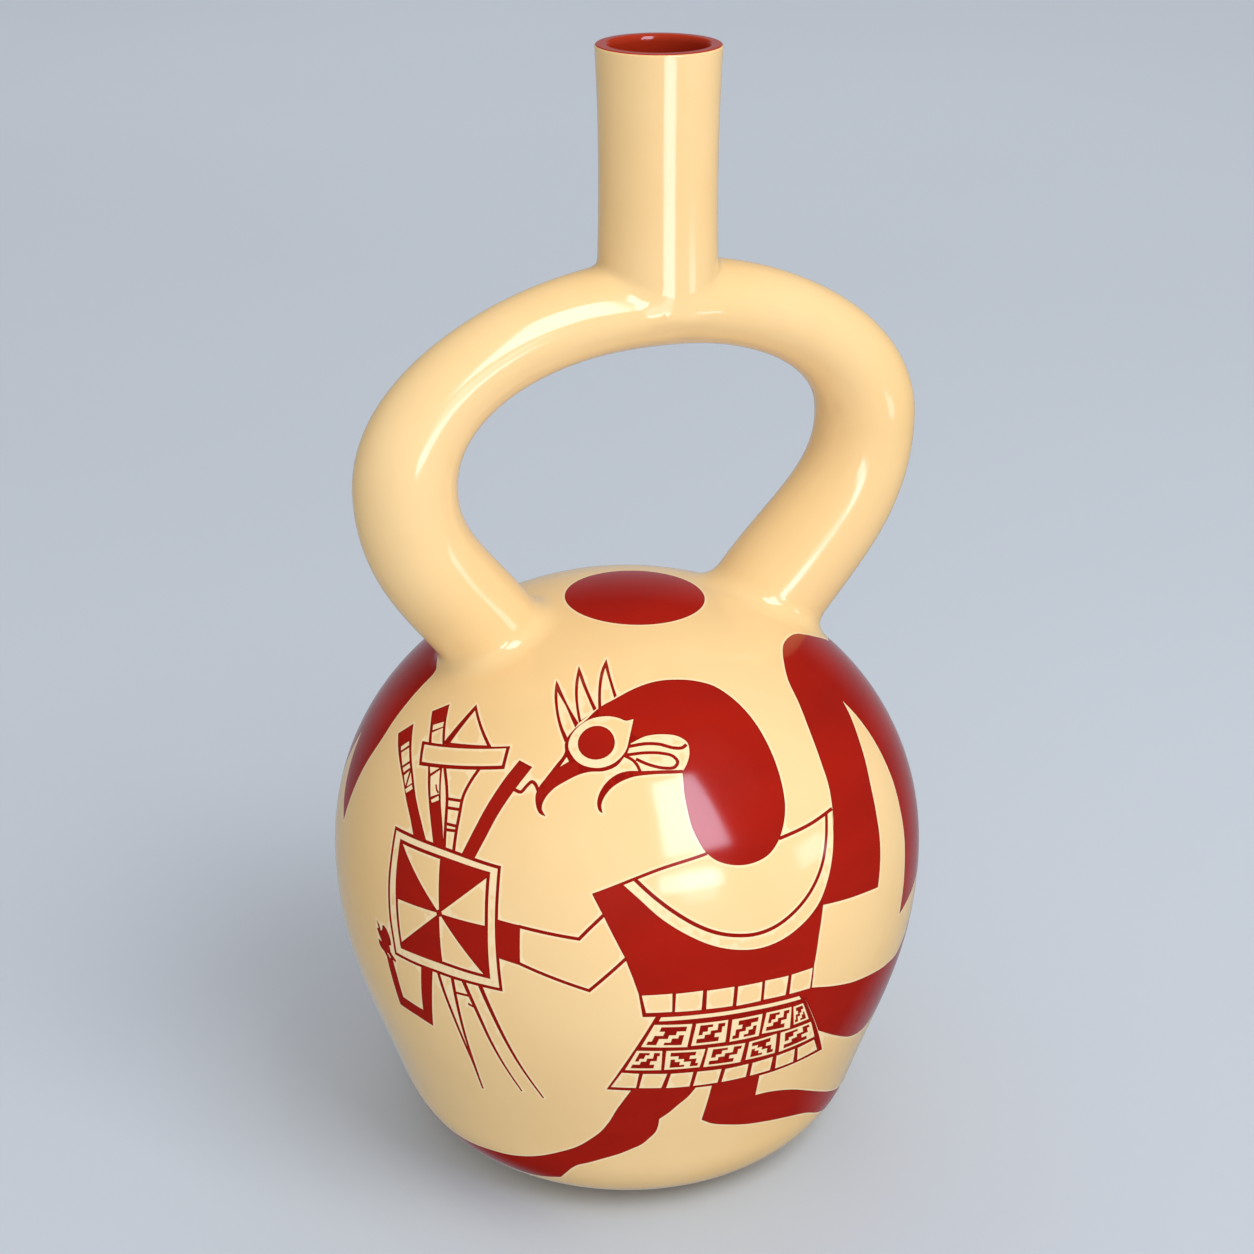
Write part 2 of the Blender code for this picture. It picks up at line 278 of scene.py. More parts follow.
class Tube:
    """A tube of changing width along a curve, a little wider front to back at one place."""

    def __init__(self, line, radius, swell):
        self.line = line
        self.where = along(line)
        self.radius = radius
        self.swell = swell
        self.way = unit(np.gradient(line, self.where, axis=0))
        self.taper = np.gradient(radius, self.where)

    def at(self, where):
        """Centre, direction, radius and swell at a distance along the curve."""
        centre = read_off(where, self.where, self.line)
        way = unit(read_off(where, self.where, self.way))
        radius = np.interp(where, self.where, self.radius)
        return centre, way, radius, np.interp(where, self.where, self.swell)

    def place(self, turn, where):
        """Point of the surface, turned round the curve from its upper or outer side."""
        centre, way, radius, swell = self.at(where)
        rise = np.cross(way, ACROSS) * (radius * np.cos(turn))[..., None]
        return centre + rise + ACROSS * ((radius + swell) * np.sin(turn))[..., None]

    def nearest(self, points):
        """Distance along the curve that lies nearest to each point."""
        return nearest_along(points, self.line, self.way, self.where)

    def gap(self, points):
        """Signed distance outside the surface, and the way out."""
        where = self.nearest(points)
        centre, way, radius, swell = self.at(where)
        out = points - centre
        squeeze = radius / (radius + swell)
        side = (out @ ACROSS)[:, None] * ACROSS
        round_out = out + side * (squeeze - 1.0)[:, None]
        size = np.maximum(np.linalg.norm(round_out, axis=1), 1e-9)
        lean = round_out + (side * squeeze[:, None]) * (squeeze - 1.0)[:, None]
        steep = np.linalg.norm(lean, axis=1) / size
        taper = np.interp(where, self.where, self.taper)
        return (size - radius) / steep, unit(lean / size[:, None] - way * taper[:, None])


class Forms:
    """The three outer forms of the bottle and how they melt into each other."""

    def __init__(self, sizes):
        self.sizes = sizes
        self.body = Turned(self.body_section(), (0.0, 0.0))
        self.tube = self.stirrup(0.0, FOOT_DEPTH)
        self.spout = Turned(self.spout_section(), (sizes.spout_x, sizes.set_back))

    def dome_height(self, radius):
        """Height of the body's upper half at a distance from its axis."""
        s = self.sizes
        share = np.maximum(0.0, 1.0 - (np.abs(radius) / s.belly_radius) ** s.dome_fullness)
        return s.belly_height + (s.body_height - s.belly_height) * share ** (1.0 / s.dome_fullness)

    def body_section(self):
        """Half-section of the body, from the pole down to the edge of the flat base."""
        s = self.sizes
        turn = np.linspace(0.5 * pi, 0.0, 240)[1:]
        radius = s.belly_radius * np.cos(turn) ** (2.0 / s.dome_fullness)
        dome = np.stack([radius, self.dome_height(radius)], axis=1)
        pole = np.array([[0.0, s.body_height]])
        heel = np.array([s.heel_radius, s.heel_height])
        lean = np.array([sin(s.heel_lean), cos(s.heel_lean)])
        belly = np.array([s.belly_radius, s.belly_height])
        side = arc_between(heel, lean, belly, np.array([0.0, 1.0]), 90)[::-1]
        base = np.array([s.base_radius, 0.0])
        low = arc_between(base, np.array([1.0, 0.0]), heel, lean, 60)[::-1]
        return np.concatenate([pole, dome, side[1:], low[1:]])

    def stirrup(self, thinner, depth):
        """The stirrup's tube, from below the left foot to below the right one."""
        s = self.sizes
        feet = []
        for x, lean, side in (
            (s.left_foot_x, s.left_foot_lean, -1),
            (s.right_foot_x, s.right_foot_lean, 1),
        ):
            height = float(self.dome_height(np.hypot(x, s.set_back)))
            feet.append((np.array([x, 0.0, height]), np.array([side * sin(lean), 0.0, cos(lean)])))
        (left, left_way), (right, right_way) = feet
        left_reach = np.array([s.left_reach_x, 0.0, s.left_reach_height])
        right_reach = np.array([s.right_reach_x, 0.0, s.right_reach_height])
        crown = np.array([s.crown_x, 0.0, s.crown_height])
        turn = np.linspace(0.0, 0.5 * pi, 120)[:, None]
        rise = crown + (left_reach - crown) * np.array([1.0, 0, 0]) * np.cos(turn)
        rise[:, 2:] = left_reach[2] + (crown[2] - left_reach[2]) * np.sin(turn)
        fall = crown + (right_reach - crown) * np.array([1.0, 0, 0]) * np.sin(turn)
        fall[:, 2:] = right_reach[2] + (crown[2] - right_reach[2]) * np.cos(turn)
        line = np.concatenate(
            [
                arc_between(left - left_way * depth, left_way, left, left_way, 12)[:-1],
                arc_between(left, left_way, left_reach, UP, 80)[:-1],
                rise[:-1],
                fall[:-1],
                arc_between(right_reach, -UP, right, -right_way, 80)[:-1],
                arc_between(right, -right_way, right - right_way * depth, -right_way, 12),
            ]
        )
        line = spread_evenly(line, 700)
        for _ in range(30):
            line[1:-1] += 0.25 * (line[:-2] + line[2:] - 2 * line[1:-1])
        left_side = line[:, 0] < s.crown_x
        arm = np.where(left_side, s.left_arm_radius, s.right_arm_radius)
        foot = np.where(left_side, s.left_foot_radius, s.right_foot_radius)
        reach = np.where(left_side, s.left_reach_height, s.right_reach_height)
        low = np.where(left_side, left[2], right[2])
        z = line[:, 2]
        risen = (z - reach) / (s.crown_height - reach) / s.crown_reach
        upper = arm + (s.crown_radius - arm) * ease(risen)
        lower = arm + (foot - arm) * ease((reach - z) / (reach - low))
        line[:, 1] = s.set_back
        swell = s.hub_swell * np.exp(-(((line[:, 0] - s.spout_x) / s.hub_spread) ** 2))
        swell[z < 0.5 * (s.left_reach_height + s.crown_height)] = 0.0
        return Tube(line, np.where(z > reach, upper, lower) - thinner, swell * (thinner == 0.0))

    def spout_radius(self, height):
        """The spout's outside radius: wide at the foot, waisted, wide again at the rim."""
        s = self.sizes
        below = (s.spout_waist_height - height) / (s.spout_waist_height - s.crown_height)
        above = (height - s.spout_waist_height) / (s.spout_top - s.spout_waist_height)
        low = (s.spout_foot_radius - s.spout_waist_radius) * np.maximum(below, 0.0) ** 2
        high = (s.spout_rim_radius - s.spout_waist_radius) * np.maximum(above, 0.0) ** 2
        return s.spout_waist_radius + low + high

    def spout_section(self):
        """Half-section of the spout's outside, from the rim down to its rounded lower end."""
        s = self.sizes
        height = np.linspace(s.spout_top - s.rim_round, s.crown_height, 160)
        wall = np.stack([self.spout_radius(height), height], axis=1)
        turn = np.linspace(0.5 * pi, 0.0, 60)[1:]
        low = s.crown_height - s.hub_depth * np.cos(turn)
        end = np.stack([s.spout_foot_radius * np.sin(turn), low], axis=1)
        return np.concatenate([wall, end])

    def melted(self, points):
        """Signed distance outside the melted whole, and the way out."""
        s = self.sizes
        gap, way = self.body.gap(points)
        below = ease((s.crown_height + 0.5 * HUB_FADE - points[:, 2]) / HUB_FADE)
        right = ease((points[:, 0] - s.spout_x + 0.5 * HUB_SIDE_FADE) / HUB_SIDE_FADE)
        below = below * right
        under = s.spout_blend + (s.hub_blend - s.spout_blend) * below
        for form, reach in ((self.tube, s.foot_blend), (self.spout, under)):
            other, other_way = form.gap(points)
            share = np.clip(0.5 + 0.5 * (gap - other) / reach, 0.0, 1.0)
            gap = gap + (other - gap) * share - reach * share * (1.0 - share)
            way = way + (other_way - way) * share[:, None]
        return gap, unit(way)

    def settle(self, points):
        """Moves points onto the melted surface, and gives its normals there."""
        forms = (self.body, self.tube, self.spout)
        gaps = np.sort(np.stack([form.gap(points)[0] for form in forms]), axis=0)
        near = gaps[1] < 1.5 * max(self.sizes.foot_blend, self.sizes.hub_blend)
        points = points.copy()
        moved = points[near]
        for _ in range(5):
            gap, way = self.melted(moved)
            moved -= way * gap[:, None]
        points[near] = moved
        return points, self.melted(points)[1]


# Drawing on the body: x runs round the belly from the middle of the front and y runs down the
# surface from the top, both in millimetres.

class Drawing:
    """Collects painted shapes, the later ones over the earlier ones."""

    def __init__(self, forms, front):
        self.body = forms.body
        self.belly = forms.sizes.belly_radius
        self.front = front
        self.shapes = []
        self.shift = 0.0

    def squeeze(self, down):
        """How much shorter a step round the body is here than at the belly."""
        point, _ = self.body.at(np.asarray(down) * MM)
        return np.maximum(point[..., 0], 1e-6) / self.belly

    def flat(self, points):
        """The drawing's places on the flat map that the skin is cut on."""
        points = np.asarray(points, dtype=float)
        turn = self.front + (points[:, 0] + self.shift) * MM / self.belly
        return polar(points[:, 1] * MM, turn)

    def fill(self, tint, points, curved=False):
        """A filled shape."""
        outline = smooth(points, True) if curved else straight(points, True)
        self.shapes.append((tint, self.flat(outline)))

    def ribbon(self, path, width, closed):
        """Both sides of a brush line."""
        path = np.asarray(path, dtype=float)
        scale = self.squeeze(path[:, 1])
        real = np.stack([path[:, 0] * scale, path[:, 1]], axis=1)
        step = np.diff(np.concatenate([real, real[:1]]) if closed else real, axis=0)
        step /= np.maximum(np.linalg.norm(step, axis=1), 1e-9)[:, None]
        side = np.stack([-step[:, 1], step[:, 0]], axis=1)
        if closed:
            before, after = np.roll(side, 1, axis=0), side
        else:
            before = np.concatenate([side[:1], side])
            after = np.concatenate([side, side[-1:]])
        join = before + after
        join /= np.maximum(np.linalg.norm(join, axis=1), 1e-6)[:, None]
        reach = 1.0 / np.maximum((join * after).sum(1), 0.4)
        half = 0.5 * np.broadcast_to(np.asarray(width, dtype=float), len(path))
        push = join * (half * reach)[:, None]
        push[:, 0] /= scale
        return path + push, path - push

    def line(self, points, width=0.75, curved=True, tint=RED):
        """An open brush line. A pair of widths makes it taper."""
        path = smooth(points, False) if curved else straight(points, False)
        if np.ndim(width):
            width = np.linspace(width[0], width[1], len(path))
        left, right = self.ribbon(path, width, False)
        self.shapes.append((tint, self.flat(np.concatenate([left, right[::-1]]))))

    def edged(self, points, width, curved=False, inside=CREAM):
        """A closed shape with a red line just inside its edge."""
        path = smooth(points, True) if curved else straight(points, True)
        sides = self.ribbon(path, 2.0 * width, True)
        self.shapes.append((RED, self.flat(path)))
        self.shapes.append((inside, self.flat(min(sides, key=area))))

    def disc(self, tint, centre, radius):
        """A round spot."""
        turn = full_turn(max(12, int(radius * 7)))
        across = centre[0] + radius * np.cos(turn) / self.squeeze(centre[1])
        down = centre[1] + radius * np.sin(turn)
        self.shapes.append((tint, self.flat(np.stack([across, down], axis=1))))


def area(points):
    """Area of a closed outline."""
    return abs(signed_area(points))


def signed_area(points):
    """Area of a closed outline, below zero where it runs clockwise."""
    x, y = points[:, 0], points[:, 1]
    return 0.5 * np.sum(x * np.roll(y, -1) - y * np.roll(x, -1))


def straight(points, closed, step=1.2):
    """Points at short steps along straight sides."""
    corners = np.array([p[:2] for p in points], dtype=float)
    if closed:
        corners = np.concatenate([corners, corners[:1]])
    out = []
    for a, b in zip(corners, corners[1:]):
        count = max(1, int(np.ceil(np.linalg.norm(b - a) / step)))
        out.extend(a + (b - a) * k / count for k in range(count))
    if not closed:
        out.append(corners[-1])
    return np.array(out)


def smooth(points, closed, step=0.9):
    """Points at short steps along a smooth curve through all of them. A third value of 1 makes a
    point a sharp corner."""
    knots = np.array([p[:2] for p in points], dtype=float)
    sharp = [len(p) > 2 for p in points]
    count = len(knots)
    out = []
    for i in range(count if closed else count - 1):
        j = (i + 1) % count
        a, b = knots[i], knots[j]
        first, last = not closed and i == 0, not closed and j == count - 1
        before = a - (b - a) if sharp[i] or first else knots[i - 1]
        after = b + (b - a) if sharp[j] or last else knots[(j + 1) % count]
        size = np.linalg.norm(b - a)
        size_before = max(np.linalg.norm(a - before), 1e-6)
        size_after = max(np.linalg.norm(after - b), 1e-6)
        leave = 0.5 * size * ((a - before) / size_before + (b - a) / size)
        reach = 0.5 * size * ((b - a) / size + (after - b) / size_after)
        steps = max(2, int(np.ceil(size / step)))
        for k in range(steps):
            t = k / steps
            out.append(
                a * (2 * t**3 - 3 * t**2 + 1)
                + leave * (t**3 - 2 * t**2 + t)
                + b * (3 * t**2 - 2 * t**3)
                + reach * (t**3 - t**2)
            )
    if not closed:
        out.append(knots[-1])
    return np.array(out)


def between(quad, u, v):
    """A place inside a four-sided panel given by its corners, clockwise from the top left."""
    quad = np.array(quad, dtype=float)
    top = quad[0] + (quad[1] - quad[0]) * u
    low = quad[3] + (quad[2] - quad[3]) * u
    return tuple(top + (low - top) * v)


FEATHERS = (
    # outline of each crest feather, then the cream inside it
    (
        [
            (-34.8, 40, 1), (-32.8, 43.5), (-29.8, 47.4), (-25.6, 52.4), (-21.7, 56.5, 1),
            (-18.4, 51.0, 1), (-25, 46.3), (-32, 41.5),
        ],
        [
            (-31.5, 43.3, 1), (-27.9, 48.2), (-24.4, 52.2), (-20.8, 55.5, 1), (-19.3, 52.3, 1),
            (-25.5, 46.9),
        ],
    ),
    (
        [
            (-27, 34.4, 1), (-25.5, 38.8), (-23.4, 43), (-20.6, 47.5), (-18.3, 51, 1),
            (-12.5, 46.6, 1), (-18.2, 41.3), (-24, 36.4),
        ],
        [
            (-24.4, 37.6, 1), (-22.8, 41.4), (-20.7, 45.4), (-17.7, 50.2, 1), (-13.4, 47.5, 1),
            (-17.9, 43.1),
        ],
    ),
    (
        [
            (-12.6, 31.1, 1), (-14, 35.2), (-13.6, 39.7), (-11.8, 46.7, 1), (-4.5, 42.7, 1),
            (-7.7, 37.8), (-11.2, 32.7),
        ],
        [
            (-12, 34.2, 1), (-12.3, 36.8), (-12, 40.7), (-10.7, 45.9, 1), (-5.6, 43.4, 1),
            (-8.4, 38.9),
        ],
    ),
)


def draw_head(pen):
    """The bird's head in profile with its crest, eye, ear and open beak."""
    for outline, cream in FEATHERS:
        pen.fill(RED, outline, curved=True)
        pen.fill(CREAM, cream, curved=True)
    pen.fill(RED, [
        (-16.3, 50.4), (-12.3, 46.9), (-4.8, 43.4), (3.8, 40.4), (13.4, 38.7), (24, 38.7),
        (33.9, 40.2), (41.3, 43), (46.1, 47.9), (48.6, 53.8), (49.2, 60.9), (48.5, 68.4),
        (47.3, 73.9), (46.1, 77.3), (43.8, 81.1), (41.2, 84.1), (37.6, 86.5), (33.1, 87.5),
        (28.2, 87.2), (23.3, 85.4), (20.5, 82.9), (18.9, 80), (17.7, 76.8), (17.1, 72.6),
        (16.9, 69.1), (17.4, 63.6, 1), (4.4, 63.2, 1), (3.4, 61.3), (1.9, 60), (-0.6, 58.9, 1),
        (-3.2, 61.4), (-7.1, 62.8), (-11.5, 63.2), (-14.7, 64), (-18.7, 66), (-22.1, 68.3),
        (-24.1, 71.1), (-24.3, 73.2), (-22.7, 74.9, 1), (-24.8, 74.4), (-26.4, 72.3), (-27, 70),
        (-26.3, 67.8), (-25.3, 66.2), (-23.1, 62.7), (-20.9, 58.9), (-21.6, 56.9), (-21.1, 54.9),
        (-19, 52.3),
    ], curved=True)
    pen.fill(CREAM, [
        (2.5, 49.3, 1), (1.1, 53.4), (-0.4, 57.5), (-3.3, 60.2), (-7.2, 61.8), (-11.1, 62.1),
        (-15.6, 61.2), (-18.4, 59.4), (-20.2, 57.3), (-20.1, 54.7), (-18, 51.9), (-14.2, 49.7),
        (-7.8, 48.6), (-3.3, 49), (-0.5, 49.7),
    ], curved=True)
    pen.disc(RED, (-10.7, 55.7), 4.4)
    pen.fill(CREAM, [(-19.9, 60.1), (-21.4, 62.7), (-18.9, 61.1)])
    pen.fill(CREAM, [
        (1.4, 55.7, 1), (6.5, 54), (12.9, 53.7), (18.5, 54.7), (21.1, 56.6), (21, 58.9),
        (19.5, 61.5), (17.7, 63.3, 1), (11.3, 62.9), (4.6, 62.8, 1), (3, 60.8), (-0.2, 59, 1),
    ], curved=True)
    pen.line([
        (0.6, 56.5), (6.3, 55.9), (11.2, 56.2), (15.9, 57.4), (18.9, 57.6), (20.6, 56.9),
    ], 0.85)
    pen.line([
        (-0.6, 58.7), (6.1, 58.2), (12, 58.6), (15.4, 59.6), (16.5, 61), (15.3, 62.2), (12.2, 62.3),
        (7, 61.2), (2.9, 59.7),
    ], 0.8)
    pen.line([(-0.7, 58.9), (1.9, 60), (3.3, 61.3), (4.2, 63)], 0.75)
    pen.fill(RED, [
        (17.7, 63.1, 1), (12.1, 62.8), (4.6, 62.7), (0.2, 62.7), (-3.1, 63.5), (-6, 65.3),
        (-8, 67.9), (-8.6, 70.7), (-7.8, 72.5), (-6.8, 72.9, 1), (-7.3, 71), (-6.6, 69.1),
        (-4.1, 66.5), (1.2, 64.3), (6.8, 63.7), (17.6, 63.9, 1),
    ], curved=True)
    pen.line([
        (-33.8, 70), (-31.6, 70.2), (-30.5, 68.7), (-29.1, 67.3), (-27.8, 67.8), (-26.4, 69.3),
    ], 0.85)


CLUBS = (
    # the red of each club, then the cream places left in it
    (
        [
            (-87.8, 70.2, 1), (-83.3, 72.7), (-78, 75.5), (-73.1, 78.3), (-68.8, 81.6),
            (-64.8, 84.9), (-61, 89, 1), (-55.8, 89, 1), (-60.7, 84), (-64.9, 80.3), (-69.7, 76),
            (-74.7, 72.3), (-78.9, 69.2), (-83.7, 65.6, 1),
        ],
        (
            [(-82.2, 71.9), (-80.2, 69.6), (-79, 70.3), (-81.1, 72.7)],
            [(-80.4, 73), (-78.3, 70.8), (-74.8, 73.3), (-76.7, 75.3)],
            [(-76, 75.7), (-74.2, 73.8), (-73, 74.5), (-74.7, 76.4)],
            [(-73.9, 77), (-72.6, 75.2), (-71.4, 78.8)],
            [(-71.7, 75.4), (-69.3, 77.4), (-70.7, 78.8)],
            [(-70.8, 79.6), (-69.1, 77.8), (-68, 78.5), (-69.8, 80.2)],
        ),
    ),
    (
        [
            (-79.7, 60.3, 1), (-75, 63.8), (-71.7, 66.7), (-66.6, 71.5), (-63.1, 75.7),
            (-59.7, 79.9), (-56.7, 84), (-53.5, 89, 1), (-50, 89, 1), (-52.9, 82.9), (-55.6, 78.7),
            (-58.4, 74.3), (-61.2, 69.8), (-65.3, 64.7), (-70.1, 60.4), (-74.5, 56.3, 1),
        ],
        (
            [(-74.5, 62.8), (-71, 60.7), (-69.9, 61.8), (-73.2, 63.9)],
            [(-72.7, 64.5), (-69.6, 62.1), (-62.5, 68.2), (-66.5, 69.6)],
            [(-66.1, 71.1), (-62.7, 70), (-61.8, 71), (-64, 73.1)],
            [(-63.4, 73.7), (-61.1, 71.3), (-57.7, 76.5), (-60.2, 78)],
            [(-59.6, 78.7), (-57.6, 77), (-56.9, 77.9), (-58.9, 79.2)],
        ),
    ),
)


def draw_clubs(pen):
    """Two banded clubs, a mace with a cross-bar and a baton, all held behind the shield."""
    for outline, places in CLUBS:
        pen.fill(RED, outline, curved=True)
        for place in places:
            pen.fill(CREAM, place)
    pen.line([(-60.1, 74.8), (-59.2, 75.8), (-58.0, 76.4)], 0.5)
    pen.line([(-60.6, 69.5), (-56.4, 73.8), (-54.2, 77), (-52.3, 81.5), (-49.9, 89)], 0.95)
    pen.line([
        (-47.3, 66.5), (-48.8, 71.2), (-49.3, 74.9), (-48.5, 79.2), (-47.9, 83.3), (-47, 89),
    ], 0.95)
    for left, right in (
        ((-54.4, 76.8), (-49.1, 76)),
        ((-53.4, 78.8), (-48.8, 78.1)),
        ((-52, 82.4), (-48.3, 82.1)),
        ((-51.5, 83.8), (-48.2, 83.2)),
    ):
        pen.line([left, right], 0.75, curved=False)
    pen.fill(RED, [(-65.6, 65.5), (-62.9, 53), (-46.2, 61.8)])
    pen.fill(CREAM, [(-62.8, 64.3), (-61.5, 54.6), (-48.7, 61.5)])
    pen.fill(RED, [(-74.5, 67.5), (-40.3, 60), (-39.2, 65.8), (-70, 72.8)])
    pen.fill(CREAM, [(-72.6, 67.9), (-41.4, 60.8), (-40.5, 65.1), (-69.6, 71.7)])
    pen.fill(RED, [
        (-35.3, 62.8, 1), (-30.3, 63.8, 1), (-33.7, 69.9), (-36.7, 76.6), (-38.6, 82.5),
        (-40.9, 89, 1), (-44.9, 89, 1), (-42.8, 82), (-40.8, 75.2), (-38.1, 68.2),
    ], curved=True)


def draw_shield(pen):
    """The square shield with a double border and a pinwheel, the darts behind it and the hand."""
    tip = (-41.4, 155.6)
    first = [(-49.1, 119), (-47.5, 124.7), (-45.7, 130.5), (-43.6, 138.6), (-42.1, 146.5), tip]
    second = [(-44.6, 119), (-43.7, 126.7), (-42.7, 136.7), (-41.9, 146.1), tip]
    third = [(-41.5, 119), (-38, 127.3), (-34.7, 136.9), (-32.1, 143.8), (-28.6, 152)]
    fourth = [(-36.7, 119), (-33.4, 127.3), (-30.3, 135.4), (-27.4, 142.6), (-22.6, 153)]
    darts = ((first, 1.0, 0.58), (second, 1.05, 0.58), (third, 1.25, 0.5), (fourth, 1.3, 0.5))
    for dart, thick, thin in darts:
        pen.line(dart, (thick, thin))
    pen.line([(-43.6, 124), (-39.6, 123.6)], 0.7, curved=False)
    pen.line([(-40.3, 126.1), (-38.8, 126.5)], 0.7, curved=False)
    pen.fill(RED, [
        (-68.3, 122.8), (-68, 124.9), (-67.3, 128.9), (-66.7, 132.2), (-66, 137.5), (-59.1, 137.7),
        (-53.4, 138.4), (-51.8, 128.9), (-50.4, 119), (-54.3, 119), (-55.5, 129), (-56, 134.3),
        (-63.5, 133.8), (-64.5, 127.5), (-65.5, 123.5), (-66.4, 122.5),
    ])
    pen.fill(RED, [
        (-71.9, 114.8), (-70.6, 115.7), (-69.9, 117.2), (-69.3, 116.4), (-69.1, 115.2),
        (-68.4, 114.9), (-67.4, 115.4), (-66.4, 116.6), (-65.8, 117.8), (-65.6, 119.3),
        (-66.5, 119.8), (-66.1, 121.6), (-64.1, 123.1), (-64.5, 123.8), (-66.4, 123.2),
        (-68.4, 123.6), (-69.2, 122.7), (-70.5, 122.3), (-71.3, 121.4), (-71.5, 120.1),
        (-69.9, 120.2), (-70.6, 119.2), (-71.5, 117.9), (-71.9, 117.2), (-71, 116.9),
    ])
    pen.fill(CREAM, [(-67.8, 122.5), (-67.3, 122.4), (-66.3, 123.2), (-66.7, 123.5)])
    border = [
        (-69.3, 88.7, 1), (-49.2, 87.7), (-32.7, 88.2, 1), (-32.3, 94), (-31.9, 100.3),
        (-31.4, 106.8), (-30.3, 119.7, 1), (-36.5, 119.9), (-43.6, 120.2), (-50, 120.4),
        (-56.4, 120.9), (-64.3, 121.3, 1), (-65, 116.5), (-65.9, 112.2), (-66.9, 106),
        (-67.5, 101.9), (-68.2, 95.7),
    ]
    frame_edge = [
        (-66, 90.8, 1), (-48.9, 90), (-35.4, 90.2, 1), (-35, 95.7), (-34.5, 101.7), (-34, 110),
        (-33.5, 117, 1), (-39.2, 117.1), (-47.4, 117.2), (-56.1, 117.8), (-61.7, 118.4, 1),
        (-62.8, 111.9), (-63.8, 105.6), (-64.6, 100.7), (-65.4, 94.7),
    ]
    pen.edged(border, 0.85, curved=True)
    pen.edged(frame_edge, 0.9, curved=True)
    middle = (-48.6, 103.9)
    for sector in (
        [(-50.9, 90.4), (-35.7, 90.5), (-35.6, 91.2)],
        [(-34.7, 103.3), (-33.9, 116.7), (-34.8, 116.7)],
        [(-47.2, 117), (-61.4, 118), (-62.1, 117.3)],
        [(-63.7, 105.4), (-65.7, 91.6), (-65.2, 91.1)],
    ):
        pen.fill(RED, [middle] + sector)
    pen.disc(RED, middle, 0.9)


def draw_arm(pen):
    """The bent arm that holds the shield, with a red cuff at the wrist."""
    pen.line([(-26.4, 101.6), (-11.4, 102.8), (-9.1, 100.2), (-5, 96)], 0.85, curved=False)
    pen.line([(-31, 110.4), (-26, 111), (-8.9, 116), (0.3, 106.7)], 0.85, curved=False)
    pen.fill(RED, [(-32.2, 101), (-26, 101.3), (-25.7, 111.3), (-31.2, 110.7)])


def draw_cape(pen, far_top):
    """The long cape behind the head, split by a cream wedge, and its far edge below a foot."""
    pen.fill(RED, [
        (97.6, 42.3), (86.1, 44.8), (76.9, 49.6), (72.5, 55.3), (68.4, 62), (65.3, 70.2),
        (63.8, 76.1), (61.8, 81.4), (59, 87.6), (56.3, 93), (53.8, 97.2), (51.4, 102.7, 1),
        (58.6, 103.9), (66.2, 105.1), (72.4, 106.2, 1), (74.7, 100.8), (76.6, 95.6), (78.5, 88.9),
        (80.9, 82.4), (84, 77), (87.7, 71.3), (92, 65.8), (94.3, 62.5, 1), (95.1, 68.1),
        (95.2, 74.2), (94.7, 80.2), (93.9, 86.5), (92.3, 93.6), (90.7, 100.7), (88.6, 107.3),
        (87, 112.9), (85, 120, 1), (112, 117, 1), (123, 95), (129.5, 70), (137, 58.5, 1), (134, 56),
        (131.3, 54), (127.8, 51.6), (124.9, 49.4), (122, 47.5), (118.5, 45.4), (111, 43.2),
    ], curved=True)
    pen.fill(
        RED,
        far_top
        + [
            (144.4, 61.6), (144.9, 65), (145.2, 68.6), (145.8, 74.4), (144.3, 84), (143.3, 92.1),
            (142.3, 99.9, 1), (136.3, 95), (125.4, 80), (113.4, 62),
        ], curved=True)


def draw_tunic(pen):
    """The red tunic with its round collar and the belt of squares."""
    pen.fill(RED, [
        (-8.6, 91.8), (-5.8, 96.6), (-0.6, 106.8), (1.4, 112.4), (3, 117.6), (11, 117.5),
        (20.5, 117.5), (33, 118), (48, 118.8), (49.5, 110.1), (51.4, 102.8), (57, 93), (61.6, 81.3),
        (52.4, 82.6), (41.7, 83.3), (20.8, 83.2), (9, 85.6), (2.6, 87.6),
    ])
    pen.fill(CREAM, [
        (-0.9, 89.4, 1), (2.6, 92.4), (8.5, 97.8), (15.5, 102.7), (20.9, 105.6), (26.4, 107.5),
        (32.1, 108.4), (38.2, 107.8), (44.7, 105.4), (50.1, 101.8), (53.9, 97.1), (57.2, 91.5),
        (59.4, 86.6), (61.2, 82, 1), (52.4, 82.8), (41.7, 83.6), (20.8, 83.6), (9, 86), (2.6, 88),
    ], curved=True)
    pen.line([
        (1.9, 88.1), (6.2, 92), (11.5, 96.3), (17.4, 100.3), (22.1, 102.6), (26.9, 104),
        (31.9, 104.6), (37.1, 103.9), (43.5, 101.2), (48.9, 97.4), (53.1, 92.8), (56.3, 87.5),
        (58.9, 82.2),
    ], 0.95)
    pen.line([(-8.4, 92), (2.6, 87.8), (9, 85.8), (20.8, 83.4)], 0.75)
    pen.line([(41.7, 83.5), (52.4, 82.7), (61.6, 81.5)], 0.85)
    pen.fill(RED, [
        (2.6, 116), (20, 116), (48.2, 117), (47.9, 124.9), (40.6, 124.8), (33.3, 124.3),
        (26.1, 123.9), (18.3, 123.6), (10.5, 123.3), (3.7, 123.2),
    ])
    for square in BELT_SQUARES:
        pen.fill(CREAM, square)


